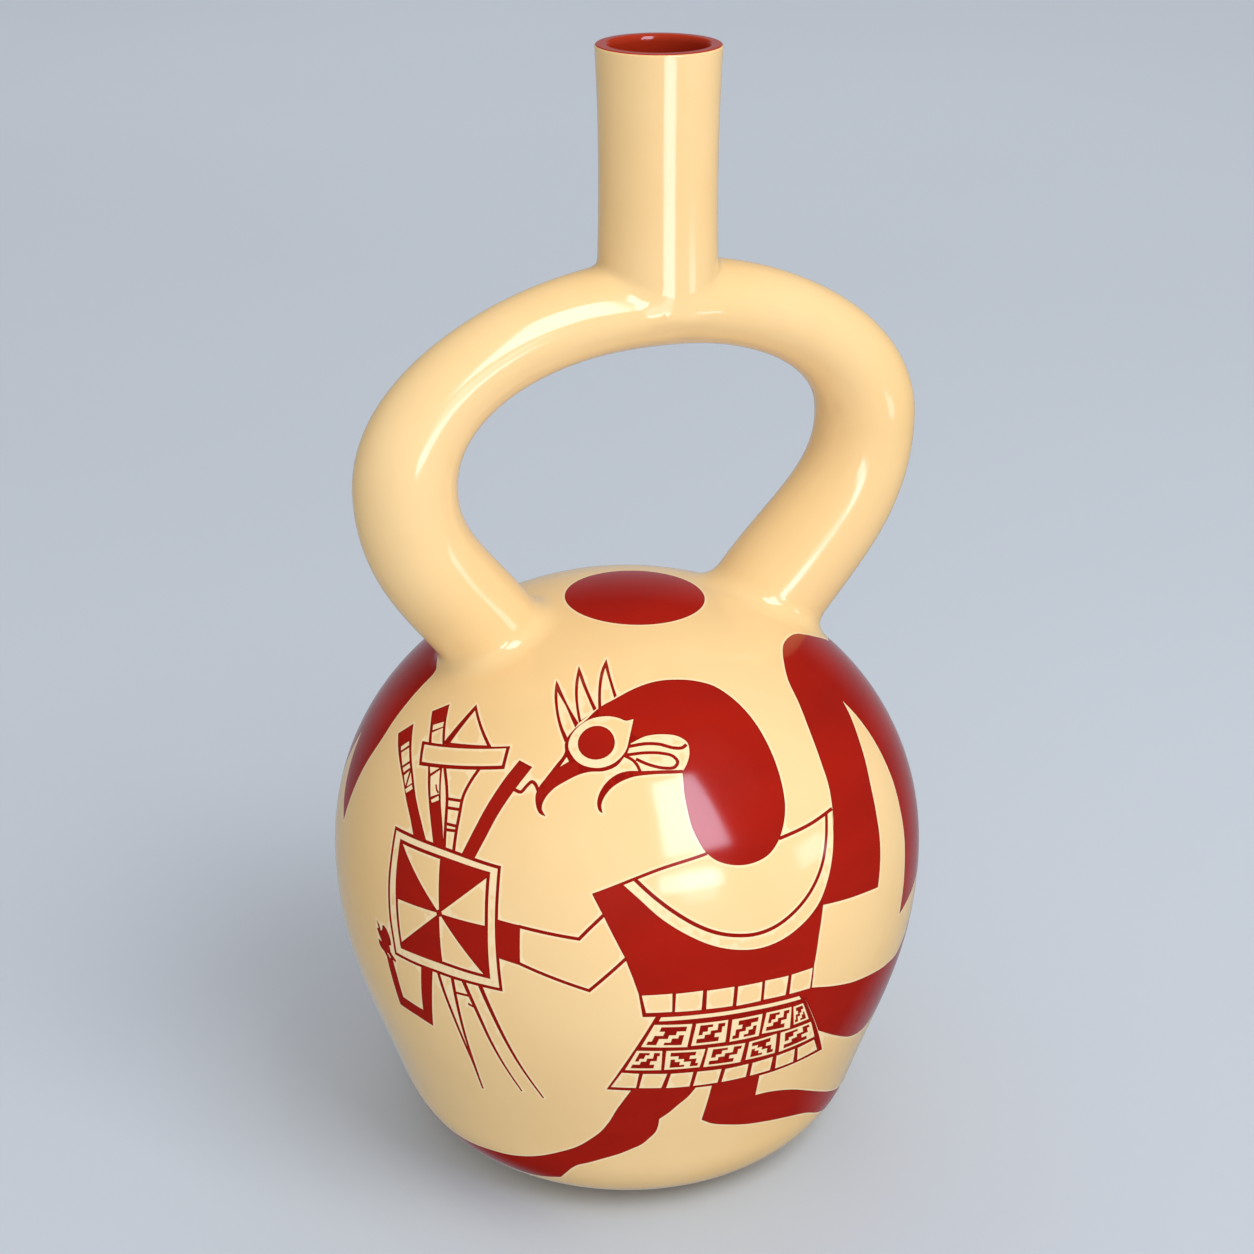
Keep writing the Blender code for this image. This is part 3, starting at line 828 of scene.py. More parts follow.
BELT_SQUARES = (
    [(3.5, 117.1), (10.7, 117), (10.7, 122.1), (4.5, 122)],
    [(11.6, 117.1), (18.1, 117), (17.8, 122.4), (11.4, 122.2)],
    [(19.1, 117.2), (25.9, 117.3), (25.6, 122.7), (19, 122.4)],
    [(26.9, 117.5), (33.2, 117.7), (33, 123), (26.6, 122.9)],
    [(34, 117.6), (40.5, 118.1), (39.9, 123.4), (33.8, 122.9)],
    [(41.4, 118.1), (47.7, 118.3), (47.3, 124), (41.1, 123.5)],
)
FRET_PANELS = (
    # the corners of each fret's panel, and whether the fret is turned left to right or upside down
    ([(6.5, 125.6), (15.7, 126.2), (14.7, 133.2), (3.4, 132.2)], False, False),
    ([(16.7, 126.3), (24.7, 126.6), (24.4, 133.4), (15.7, 133)], True, True),
    ([(25.8, 126.8), (33.8, 127.1), (33.4, 133.8), (25.5, 133.6)], False, False),
    ([(34.9, 127.1), (42.1, 127.7), (42.5, 134.4), (34.2, 133.4)], True, True),
    ([(42.7, 127.9), (45.6, 127.9), (48.3, 133.8), (43.6, 133.8)], False, False),
    ([(2.4, 133.4), (8.6, 133.8), (8.5, 140.2), (-0.5, 139.8)], True, True),
    ([(9.6, 133.9), (19.4, 134.6), (18.3, 140.5), (9.3, 140.2)], True, False),
    ([(20.1, 134.4), (29.9, 135.1), (29.3, 141.4), (19.3, 140.7)], True, True),
    ([(31, 135.1), (38.7, 134.9), (39.2, 141.5), (30.7, 141.1)], True, False),
    ([(39.9, 135), (49.3, 135.2), (52, 141.3), (40.5, 141.7)], True, True),
)
HEM_SQUARES = (
    [(-1.3, 140.8), (3, 141.2), (2.3, 146.3), (-4.1, 146)],
    [(4, 141.3), (10.1, 141.7), (8.8, 146.7), (3.1, 146.4)],
    [(11.1, 141.8), (16.8, 142), (16.2, 147.1), (10.1, 146.9)],
    [(17.9, 142.1), (24.3, 142.5), (23.8, 147.3), (17.2, 147.1)],
    [(25.4, 142.8), (31.8, 142.8), (31.8, 147.5), (24.9, 147.4)],
    [(33, 142.9), (38.9, 142.8), (39, 147.6), (33, 147.5)],
    [(40.1, 142.9), (45.8, 142.8), (46.5, 147.7), (40.7, 147.7)],
    [(46.8, 142.9), (52.2, 142.5), (54.8, 147.2), (47.9, 147.7)],
)


def draw_skirt(pen):
    """The flared skirt: two rows of stepped frets over a row of squares."""
    pen.fill(RED, [
        (6.9, 123), (-5.3, 147), (1.4, 147.3), (10.1, 147.6), (25.5, 148.3), (41, 148.7),
        (57.2, 148.4), (44.9, 124.4), (30.3, 123.3), (17.9, 123),
    ])
    pen.fill(CREAM, [
        (8.1, 123.5), (17.9, 123.7), (30.3, 124.2), (44.1, 125.2), (44.8, 126.3), (30.4, 125.3),
        (17.9, 124.8), (7.6, 124.6),
    ],
    )
    for cell, sideways, upside_down in FRET_PANELS:
        pen.fill(CREAM, cell)
        draw_fret(pen, cell, sideways, upside_down)
    for square in HEM_SQUARES:
        pen.fill(CREAM, square)


def draw_fret(pen, cell, sideways, upside_down):
    """A stepped fret: a stepped block and a stepped hook that curls over it."""
    block = [
        (0.46, 0.90), (0.46, 0.78), (0.60, 0.78), (0.60, 0.60), (0.74, 0.60), (0.74, 0.46),
        (0.86, 0.46), (0.86, 0.90),
    ]
    hook = [
        (0.22, 0.10), (0.88, 0.10), (0.88, 0.30), (0.66, 0.30), (0.66, 0.46), (0.50, 0.46),
        (0.50, 0.62), (0.30, 0.62), (0.30, 0.90), (0.08, 0.90), (0.08, 0.74), (0.16, 0.74),
        (0.16, 0.48), (0.36, 0.48), (0.36, 0.30), (0.22, 0.30),
    ]
    for shape in (block, hook):
        places = [(1.0 - u if sideways else u, 1.0 - v if upside_down else v) for u, v in shape]
        pen.fill(RED, [between(cell, u, v) for u, v in places])


def draw_legs(pen):
    """The two striding legs and the tail band."""
    pen.fill(RED, [
        (1.4, 146.5, 1), (-0.6, 150.4), (-2.7, 154.6), (-4.9, 159.7), (-7.6, 164.2), (-10.9, 167.7),
        (-14.3, 170.7), (-20.9, 174.5), (-28.4, 177.9), (-37.9, 180.8), (-47.5, 182.5),
        (-59, 184.4), (-69, 184.5), (-80, 181), (-92, 175), (-104, 166, 1), (-99, 176), (-88, 183),
        (-75, 188), (-60, 190.5), (-45, 191), (-32.5, 189.8), (-22.2, 186.4, 1), (-19.6, 183),
        (-17.7, 180.7), (-15.6, 178.9), (-11.5, 177.1), (-6.7, 174.9), (-2, 172.8), (1.2, 171),
        (4.3, 169.1), (6.4, 166.7), (8.1, 164.3), (8.8, 161.2), (8.9, 159, 1), (11.5, 156.6),
        (13.8, 153.8), (16.1, 151.2), (18.4, 147.2, 1),
    ], curved=True)
    pen.fill(RED, [
        (22.4, 147.3, 1), (21.8, 154.7), (21.1, 161.4, 1), (24.7, 163.8), (29.8, 165.7),
        (35.1, 167.4), (43.7, 169.5), (53.5, 172.1), (62, 175), (71.8, 180), (84, 185),
        (98, 187.5, 1), (106, 181, 1), (96, 181), (84.5, 178), (73, 172.8), (65.4, 168.6),
        (58.2, 164.4), (50.9, 160.3), (45.7, 158.1), (40, 156.5), (36.5, 156.2, 1), (36, 147.8, 1),
    ], curved=True)
    pen.fill(RED, [
        (44.3, 123.3, 1), (48, 124.1), (54.4, 126.3), (62.1, 128.7), (71.1, 130.8), (81.5, 133),
        (90, 133.9), (98, 130.4), (106, 121, 1), (118, 122, 1), (110, 136), (98, 148), (90, 153.5),
        (82, 154.5), (71.7, 151.6), (62, 146), (52.9, 139.7, 1),
    ], curved=True)


def draw_painting(forms, front):
    """The whole painting: the warrior on the front, again on the back, and the disc on the top."""
    pen = Drawing(forms, front)
    half_way_round = pi * forms.sizes.belly_radius / MM
    disc_radius, disc_shift, disc_count = 17.8, 2.0, 110
    back_top = [
        (107.3, 48, 1), (124.3, 46), (139.7, 51.8), (142.1, 52.7), (143.4, 54.7), (143.9, 57.7),
    ]
    front_top = [(118, 60, 1), (130, 60, 1), (136.5, 58.2), (141.5, 59.5)]
    for shift, far_top in ((half_way_round, back_top), (0.0, front_top)):
        pen.shift = shift
        draw_cape(pen, far_top)
        draw_legs(pen)
        draw_clubs(pen)
        draw_arm(pen)
        draw_shield(pen)
        draw_tunic(pen)
        draw_skirt(pen)
        draw_head(pen)
    aside = np.array([cos(front + 0.5 * pi), sin(front + 0.5 * pi)]) * disc_shift
    pen.shapes.append((RED, (polar(disc_radius, full_turn(disc_count)) + aside) * MM))
    return pen.shapes


# Cutting and joining the skin

def inside(outline, points):
    """Which points lie inside a closed outline. Small folds in the outline count as outside."""
    if signed_area(outline) < 0.0:
        outline = outline[::-1]
    low, high = outline.min(0), outline.max(0)
    near = np.flatnonzero(((points >= low) & (points <= high)).all(1))
    hit = np.zeros(len(points), dtype=bool)
    if not len(near):
        return hit
    x, y = points[near, 0], points[near, 1]
    wound = np.zeros(len(near), dtype=int)
    for a, b in zip(outline, np.roll(outline, -1, axis=0)):
        side = (b[0] - a[0]) * (y - a[1]) - (x - a[0]) * (b[1] - a[1])
        wound += (a[1] <= y) & (b[1] > y) & (side > 0)
        wound -= (a[1] > y) & (b[1] <= y) & (side < 0)
    hit[near] = wound > 0
    return hit


def cut_sheet(loops, grid, lines, holes):
    """Cuts a flat sheet into triangles along loops and lines. Gives the flat points, the triangles,
    and for each loop point its number in the sheet."""
    points, edges, starts = [], [], []
    for loop in loops:
        starts.append(len(points))
        count = len(loop)
        edges.extend((len(points) + k, len(points) + (k + 1) % count) for k in range(count))
        points.extend(loop)
    for line in lines:
        edges.extend((len(points) + k, len(points) + k + 1) for k in range(len(line) - 1))
        points.extend(line)
    points.extend(grid)
    scale, tolerance, least_area = 1000.0, 0.004, 1e-14
    flat = [Vector((p[0] * scale, p[1] * scale)) for p in points]
    result = geometry.delaunay_2d_cdt(flat, edges, [], 0, tolerance, True)
    places = np.array([tuple(p) for p in result[0]]) / scale
    faces = np.array([f for f in result[2] if len(f) == 3])
    middle = places[faces].mean(1)
    keep = np.ones(len(faces), dtype=bool)
    for hole in holes:
        keep &= ~inside(hole, middle)
    corners = places[faces]
    cross = np.cross(corners[:, 1] - corners[:, 0], corners[:, 2] - corners[:, 0])
    keep &= np.abs(cross) > least_area
    number = {}
    for new, sources in enumerate(result[3]):
        for source in sources:
            number[source] = new
    rows = [[number[start + k] for k in range(len(loop))] for start, loop in zip(starts, loops)]
    return places, faces[keep], rows


def foot_loop(forms, left, count):
    """Where the stirrup's tube meets the dome, one point for each turn round the tube."""
    turn = full_turn(count)
    total, searched = forms.tube.where[-1], 0.16
    where = np.linspace(0.0, searched * total, 500)
    if not left:
        where = total - where
    found = []
    for angle_round in turn:
        points = forms.tube.place(np.full(len(where), angle_round), where)
        gap, _ = forms.body.gap(points)
        first = np.flatnonzero((gap[:-1] < 0) & (gap[1:] >= 0))[-1]
        share = -gap[first] / (gap[first + 1] - gap[first])
        found.append(where[first] + (where[first + 1] - where[first]) * share)
    return turn, np.array(found)


def spout_loop(forms, count):
    """Where the spout meets the stirrup, one point for each turn round the spout."""
    turn = full_turn(count)
    where = np.linspace(0.0, forms.spout.where[-1], 1500)
    section, _ = forms.spout.at(where)
    found = []
    for angle_round in turn:
        out = np.array([cos(angle_round), sin(angle_round)])
        gap, _ = forms.tube.gap(swung(section, out, forms.spout.centre))
        first = np.flatnonzero((gap[:-1] > 0) & (gap[1:] <= 0))[0]
        share = gap[first] / (gap[first] - gap[first + 1])
        found.append(where[first] + (where[first + 1] - where[first]) * share)
    return turn, np.array(found)


class Skin:
    """Collects sheets of faces with their normals and paint, and makes one mesh of them."""

    def __init__(self):
        self.points, self.normals, self.faces, self.paint, self.edge = [], [], [], [], []
        self.count = 0

    def add(self, points, normals, faces, paint=None, edge=None):
        """Adds a sheet."""
        self.points.append(points)
        self.normals.append(normals)
        self.faces.extend([tuple(int(v) + self.count for v in face) for face in faces])
        self.paint.extend(paint if paint is not None else [CREAM] * len(faces))
        self.edge.append(edge if edge is not None else np.full(len(points), FAR_FROM_PAINT))
        self.count += len(points)


def body_sheet(forms, loops, shapes):
    """The body's outside with the painting cut into it, on a map round the top of the dome."""
    total = forms.body.where[-1]
    rim = polar(total, full_turn(BASE_COUNT))
    guard_share, clear_share = 1.085, 1.03

    def to_map(points):
        return polar(forms.body.nearest(points)[0], np.arctan2(points[:, 1], points[:, 0]))

    holes = [to_map(loop) for loop in loops]
    guards = [grown(hole, guard_share) for hole in holes]
    lines = [list(guard) + [guard[0]] for guard in guards]
    for _, outline in shapes:
        closed = np.concatenate([outline, outline[:1]])
        clear = np.ones(len(closed), dtype=bool)
        for hole in holes:
            clear &= ~inside(grown(hole, clear_share), closed)
        run = []
        for point, free in zip(closed, clear):
            if free:
                run.append(point)
            elif run:
                lines.append(run)
                run = []
        lines.append(run)
    lines = [line for line in lines if len(line) > 1]

    tree_points = np.concatenate([np.array(line) for line in lines] + holes + [rim])
    tree = tree_of(map_to_body(forms, tree_points))
    grid = []
    rows = int(total / BODY_STEP)
    for row in range(1, rows):
        where = total * row / rows
        section, _ = forms.body.at(np.array([where]))
        count = max(6, int(2 * pi * section[0, 0] / BODY_STEP))
        grid.append(polar(where, (np.arange(count) + 0.5 * (row % 2)) * 2 * pi / count))
    grid = np.concatenate(grid + [np.zeros((1, 2))])
    placed = map_to_body(forms, grid)
    clear = np.array([tree.find(point)[2] > CLEAR_OF_LINES for point in placed])
    for hole in holes:
        clear &= ~inside(hole, grid)
    places, faces, rows = cut_sheet([rim] + holes, grid[clear], lines, holes)

    points = map_to_body(forms, places)
    for row, loop in zip(rows[1:], loops):
        points[row] = loop
    middle = places[faces].mean(1)
    paint = np.full(len(faces), CREAM)
    for tint, outline in shapes:
        paint[inside(outline, middle)] = tint
    for guard in guards:
        paint[inside(guard, middle)] = CREAM
    tree = tree_of(paint_borders(points, faces, paint))
    edge = np.array([min(tree.find(point)[2] / MM, FAR_FROM_PAINT) for point in points])
    return points, faces, paint, edge, rows[0]


def tree_of(points):
    """A search tree of points."""
    tree = kdtree.KDTree(len(points))
    for k, point in enumerate(points):
        tree.insert(point, k)
    tree.balance()
    return tree


def paint_borders(points, faces, paint):
    """Places at short steps along the borders between differently painted faces."""
    sides = np.sort(np.concatenate([faces[:, [0, 1]], faces[:, [1, 2]], faces[:, [2, 0]]]), axis=1)
    tint = np.tile(paint, 3)
    order = np.lexsort((sides[:, 1], sides[:, 0]))
    sides, tint = sides[order], tint[order]
    shared = (sides[1:] == sides[:-1]).all(1)
    border = sides[1:][shared & (tint[1:] != tint[:-1])]
    start, end = points[border[:, 0]], points[border[:, 1]]
    return np.concatenate([start + (end - start) * share for share in (0.0, 0.25, 0.5, 0.75, 1.0)])


def grown(outline, share):
    """A closed outline made larger about its middle."""
    middle = outline.mean(0)
    return middle + (outline - middle) * share


def map_to_body(forms, places):
    """Points of the body's outside from places on its map."""
    section, _ = forms.body.at(np.linalg.norm(places, axis=1))
    turn = np.arctan2(places[:, 1], places[:, 0])
    return np.column_stack([polar(section[:, 0], turn), section[:, 1]])


def stirrup_sheet(forms, ends, hole_points, count):
    """The stirrup's outside from foot to foot, with the spout's hole cut in it."""
    tube = forms.tube
    (turn, start), (_, finish) = ends
    loop = np.append(turn, 2 * pi)
    span = float(np.mean(finish - start))

    def ends_at(turns):
        around = np.mod(turns, 2 * pi)
        return [np.interp(around, loop, np.append(end, end[0])) for end in (start, finish)]

    where = tube.nearest(hole_points)
    centre, way, radius, swell = tube.at(where)
    out = hole_points - centre
    outward = (out * np.cross(way, ACROSS)).sum(1)
    turns = np.arctan2((out @ ACROSS) * radius / (radius + swell), outward)
    low, high = ends_at(turns)
    centred = np.mod(turns + pi, 2 * pi) - pi
    hole = np.stack([(where - low) / (high - low) * span, centred * UNROLL_RADIUS], axis=-1)

    half = np.linspace(-pi, pi, count + 1)
    seam_margin = 0.04
    steps = int(span / STIRRUP_STEP)
    along_sheet = np.linspace(0.0, span, steps + 1)
    left = np.stack([np.zeros(count + 1), half * UNROLL_RADIUS], axis=1)
    right = np.stack([np.full(count + 1, span), half * UNROLL_RADIUS], axis=1)
    low = np.stack([along_sheet, np.full(steps + 1, -pi * UNROLL_RADIUS)], axis=1)
    high = np.stack([along_sheet, np.full(steps + 1, pi * UNROLL_RADIUS)], axis=1)
    border = np.concatenate([low, right[1:], high[::-1][1:], left[::-1][1:-1]])

    grid = []
    for row, x in enumerate(along_sheet[1:-1]):
        ring = half[:-1] + (0.5 * (row % 2) + 0.5) * 2 * pi / count
        ring = ring[(ring > -pi + seam_margin) & (ring < pi - seam_margin)]
        grid.append(np.stack([np.full(len(ring), x), ring * UNROLL_RADIUS], axis=1))
    grid = np.concatenate(grid)
    gap = np.sqrt(((grid[:, None, :] - hole[None]) ** 2).sum(-1)).min(1)
    grid = grid[(gap > CLEAR_OF_HOLE) & ~inside(hole, grid)]
    places, faces, rows = cut_sheet([border, hole], grid, [], [hole])
    turns = places[:, 1] / UNROLL_RADIUS
    low, high = ends_at(turns)
    points = tube.place(turns, low + (high - low) * places[:, 0] / span)
    points[rows[1]] = hole_points
    return points, faces


class BOTTLE_OT_skin(bpy.types.Operator):
    """Makes the whole bottle as one closed skin, hollow, with the painting cut into it"""

    bl_idname = "bottle.skin"
    bl_label = "Bottle Skin"

    def execute(self, context):
        scene = context.scene
        sizes = scene.bottle_sizes
        forms = Forms(sizes)
        front = -0.5 * pi - scene.bottle_studio.view_turn
        ends = [foot_loop(forms, left, TUBE_COUNT) for left in (True, False)]
        foot_rings = [forms.tube.place(turn, where) for turn, where in ends]
        spout_turn, spout_where = spout_loop(forms, SPOUT_COUNT)
        out = polar(1.0, spout_turn)
        spout_ring = swung(forms.spout.at(spout_where)[0], out, forms.spout.centre)

        skin = Skin()
        shapes = draw_painting(forms, front)
        points, faces, paint, edge, base_row = body_sheet(forms, foot_rings, shapes)
        settled, normals = forms.settle(points)
        skin.add(settled, normals, faces, paint, edge)
        base_ring = settled[base_row]

        points, faces = stirrup_sheet(forms, ends, spout_ring, TUBE_COUNT)
        settled, normals = forms.settle(points)
        skin.add(settled, normals, faces)

        points = spout_rows(forms, out, spout_where, spout_ring)
        settled, normals = forms.settle(points)
        top_ring = points[:SPOUT_COUNT]
        settled[:SPOUT_COUNT] = top_ring
        skin.add(settled, normals, ring_faces(SPOUT_ROWS, SPOUT_COUNT))

        add_rim(skin, sizes, top_ring, out, forms.spout.centre)
        add_base(skin, base_ring)
        add_hollow(skin, forms, SPOUT_COUNT)
        piece = make_skin(skin, "bottle_skin")
        piece.data.materials.append(slip_material(scene.bottle_colours))
        piece.data.materials.append(clay_material(scene.bottle_colours))
        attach(piece, "root")
        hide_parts("bottle")
        return {"FINISHED"}


def ring_faces(rows, count):
    """Four-sided faces between rings of points that follow each other."""
    faces = []
    for low in range(0, rows * count, count):
        for k in range(count):
            j = (k + 1) % count
            faces.append((low + k, low + count + k, low + count + j, low + j))
    return faces


def spout_rows(forms, out, where, ring):
    """Rings of the spout's outside from the rim down to where it meets the stirrup."""
    rings = []
    for row in range(SPOUT_ROWS):
        section, _ = forms.spout.at(where * row / SPOUT_ROWS)
        rings.append(swung(section, out, forms.spout.centre))
    return np.concatenate(rings + [ring])


def add_rim(skin, sizes, top_ring, out, centre):
    """The rounded rim, its flat red lip and the red throat down to the bare clay."""
    count = len(top_ring)
    rim, bore, rounded = sizes.spout_rim_radius, sizes.spout_bore_radius, sizes.rim_round
    top = sizes.spout_top
    section, normal, tints = [], [], []
    for k in range(5):
        turn = 0.5 * pi * k / 4
        section.append((rim - rounded + rounded * cos(turn), top - rounded + rounded * sin(turn)))
        normal.append((cos(turn), sin(turn)))
        tints.append(RED if k > 1 else CREAM)
    flare, drop = sizes.mouth_flare, sizes.mouth_depth
    for share in (0.33, 0.66):
        section.append((rim - rounded + (bore + flare - rim + rounded) * share, top))
        normal.append((0.0, 1.0))
        tints.append(RED)
    for k in range(9):
        turn = 0.5 * pi * k / 8
        section.append((bore + flare - flare * sin(turn), top - drop + drop * cos(turn)))
        steep = np.hypot(drop * sin(turn), flare * cos(turn))
        normal.append((-drop * sin(turn) / steep, flare * cos(turn) / steep))
        tints.append(RED)
    end = top - rounded - sizes.painted_depth
    for k in range(1, 17):
        section.append((bore, top - drop + (end - top + drop) * k / 16))
        normal.append((-1.0, 0.0))
        tints.append(RED)
    rings = [swung(np.tile(place, (count, 1)), out, centre) for place in section]
    rings[0] = top_ring
    normals = [swung(np.tile(way, (count, 1)), out, 0.0) for way in normal]
    faces = [(b, a, d, c) for a, b, c, d in ring_faces(len(section) - 1, count)]
    paint = np.repeat(tints[:-1], count)
    skin.add(np.concatenate(rings), np.concatenate(normals), faces, paint)


def add_base(skin, base_ring):
    """The flat underside, in rings round its centre."""
    count = len(base_ring)
    shares = (1.0, 0.75, 0.5, 0.25, 0.08)
    rings = []
    for share in shares:
        ring = base_ring * share
        ring[:, 2] = base_ring[:, 2]
        rings.append(ring)
    last = (len(shares) - 1) * count
    centre = last + count
    faces = ring_faces(len(shares) - 1, count)
    faces.extend((last + k, centre, last + (k + 1) % count) for k in range(count))
    points = np.concatenate(rings + [np.array([[0.0, 0.0, base_ring[0, 2]]])])
    skin.add(points, np.tile(-UP, (len(points), 1)), faces)


def make_skin(skin, name):
    """One mesh from all the sheets, welded where they share an edge."""
    piece = new_piece(name, np.concatenate(skin.points).tolist(), [], skin.faces)
    mesh = piece.data
    tint = np.array(skin.paint, dtype=np.float32)
    mesh.polygons.foreach_set("material_index", (tint == CLAY).astype(np.int32))
    mesh.attributes.new("painted", "FLOAT", "FACE").data.foreach_set("value", np.minimum(tint, RED))
    edge = np.concatenate(skin.edge).astype(np.float32)
    mesh.attributes.new("paint_gap", "FLOAT", "POINT").data.foreach_set("value", edge)
    normals = np.concatenate(skin.normals).astype(np.float32)
    outward = mesh.attributes.new("outward", "FLOAT_VECTOR", "POINT")
    outward.data.foreach_set("vector", normals.ravel())
    with editing(piece):
        bpy.ops.mesh.remove_doubles(threshold=WELD_DISTANCE)
        bpy.ops.mesh.dissolve_degenerate(threshold=1e-6)
    bpy.ops.object.shade_smooth()
    mesh = piece.data
    normals = np.empty(len(mesh.vertices) * 3, dtype=np.float32)
    mesh.attributes["outward"].data.foreach_get("vector", normals)
    mesh.attributes.remove(mesh.attributes["outward"])
    mesh.normals_split_custom_set_from_vertices(normals.reshape(-1, 3).tolist())
    check_closed(mesh)
    return piece


def new_piece(name, points, edges, faces):
    """A new mesh object in the scene."""
    mesh = bpy.data.meshes.new(name)
    mesh.from_pydata(points, edges, faces)
    piece = bpy.data.objects.new(name, mesh)
    bpy.context.scene.collection.objects.link(piece)
    return piece


@contextmanager
def editing(piece):
    """Opens one piece in edit mode with all of it selected, and closes it afterwards."""
    only(piece)
    bpy.ops.object.mode_set(mode="EDIT")
    bpy.ops.mesh.select_all(action="SELECT")
    yield
    bpy.ops.object.mode_set(mode="OBJECT")


def check_closed(mesh):
    """Stops if the skin has an open edge or one with more than two faces."""
    bm = bmesh.new()
    bm.from_mesh(mesh)
    loose = [edge for edge in bm.edges if len(edge.link_faces) != 2]
    places = [tuple(round(c, 5) for c in edge.verts[0].co) for edge in loose[:6]]
    count = len(loose)
    bm.free()
    if count:
        raise RuntimeError(f"the skin has {count} open or crowded edges, such as at {places}")


def only(piece):
    """Selects one object alone."""
    if bpy.context.mode != "OBJECT":
        bpy.ops.object.mode_set(mode="OBJECT")
    bpy.ops.object.select_all(action="DESELECT")
    piece.select_set(True)
    bpy.context.view_layer.objects.active = piece


def unite(piece, other):
    """Joins two closed forms into one, and takes the other away."""
    only(piece)
    bpy.ops.object.modifier_add(type="BOOLEAN")
    cut = piece.modifiers[-1]
    cut.operation = "UNION"
    cut.solver = "EXACT"
    cut.object = other
    bpy.ops.object.modifier_apply(modifier=cut.name)
    bpy.data.objects.remove(other)


def add_hollow(skin, forms, count):
    """The bare clay inside: the chamber, the two arms and the bore of the spout."""
    sizes = forms.sizes
    wall = sizes.body_wall
    every = 22
    section = forms.body.section[::every] - forms.body.normal[::every] * wall
    section[0] = (0.0, sizes.body_height - wall)
    section = section[(section[:, 1] > wall) & (section[:, 0] >= 0.0)]
    low = np.array([[section[-1, 0] - 0.004, wall], [0.0, wall]])
    path = np.concatenate([section, low])
    points = [(radius, 0.0, height) for radius, height in path]
    edges = [(k, k + 1) for k in range(len(points) - 1)]
    chamber = new_piece("chamber_form", points, edges, [])
    with editing(chamber):
        bpy.ops.mesh.spin(steps=CHAMBER_STEPS, angle=2 * pi, center=(0, 0, 0), axis=(0, 0, 1))
        bpy.ops.mesh.select_all(action="SELECT")
        bpy.ops.mesh.remove_doubles(threshold=1e-5)
        bpy.ops.mesh.normals_make_consistent(inside=False)

    tube = forms.stirrup(sizes.stirrup_wall, HOLLOW_DEPTH)
    turn = full_turn(HOLLOW_COUNT)
    rows = [
        tube.place(turn, np.full(HOLLOW_COUNT, where))
        for where in np.linspace(0.0, tube.where[-1], HOLLOW_RINGS)
    ]
    last = (HOLLOW_RINGS - 1) * HOLLOW_COUNT
    faces = ring_faces(HOLLOW_RINGS - 1, HOLLOW_COUNT)
    faces += [tuple(range(HOLLOW_COUNT)), tuple(range(last, last + HOLLOW_COUNT))]
    arms = new_piece("arm_form", np.concatenate(rows).tolist(), [], faces)
    with editing(arms):
        bpy.ops.mesh.normals_make_consistent(inside=False)
    unite(chamber, arms)

    top = sizes.spout_top - sizes.rim_round - sizes.painted_depth
    low = sizes.crown_height
    bpy.ops.mesh.primitive_cylinder_add(
        vertices=count,
        radius=sizes.spout_bore_radius,
        depth=top - low,
        location=(sizes.spout_x, sizes.set_back, 0.5 * (top + low)),
    )
    bore = bpy.context.object
    bpy.ops.object.transform_apply(location=True, rotation=True, scale=True)
    unite(chamber, bore)

    mesh = chamber.data
    bm = bmesh.new()
    bm.from_mesh(mesh)
    lid = [
        face
        for face in bm.faces
        if face.calc_center_median().z > top - 1e-5 and abs(face.normal.z) > 0.9
    ]
    bmesh.ops.delete(bm, geom=lid, context="FACES_ONLY")
    bmesh.ops.reverse_faces(bm, faces=bm.faces)
    bm.to_mesh(mesh)
    bm.free()
    points = np.array([tuple(v.co) for v in mesh.vertices])
    normals = np.array([tuple(v.normal) for v in mesh.vertices])
    faces = [tuple(p.vertices) for p in mesh.polygons]
    skin.add(points, normals, faces, [CLAY] * len(faces))
    bpy.data.objects.remove(chamber)


# Finishes

BUMP_DISTANCE = 0.0004
MOUTH_FADE = (0.272, 0.284)  # heights between which the painting's red becomes the mouth's
SLIP_IOR = 1.42


def new_material(name):
    """An empty node material with its shader and output."""
    material = bpy.data.materials.new(name)
    material.use_nodes = True
    nodes = material.node_tree.nodes
    nodes.clear()
    output = nodes.new("ShaderNodeOutputMaterial")
    output.location = (900, 0)
    shader = nodes.new("ShaderNodeBsdfPrincipled")
    shader.location = (600, 0)
    material.node_tree.links.new(shader.outputs["BSDF"], output.inputs["Surface"])
    return material, shader


def noise(tree, scale, detail, where, stretch=(1.0, 1.0, 1.0)):
    """Soft cloudy variation in the object's own space."""
    place = tree.nodes.new("ShaderNodeTexCoord")
    place.location = (where[0] - 400, where[1])
    mapping = tree.nodes.new("ShaderNodeMapping")
    mapping.location = (where[0] - 200, where[1])
    mapping.inputs["Scale"].default_value = stretch
    cloud = tree.nodes.new("ShaderNodeTexNoise")
    cloud.location = where
    cloud.inputs["Scale"].default_value = scale
    cloud.inputs["Detail"].default_value = detail
    tree.links.new(place.outputs["Object"], mapping.inputs["Vector"])
    tree.links.new(mapping.outputs["Vector"], cloud.inputs["Vector"])
    return cloud.outputs["Fac"]


def spread(tree, source, low, high, to_low, to_high, where):
    """Stretches a value from one range to another."""
    node = tree.nodes.new("ShaderNodeMapRange")
    node.location = where
    node.inputs["From Min"].default_value = low
    node.inputs["From Max"].default_value = high
    node.inputs["To Min"].default_value = to_low
    node.inputs["To Max"].default_value = to_high
    tree.links.new(source, node.inputs["Value"])
    return node.outputs["Result"]


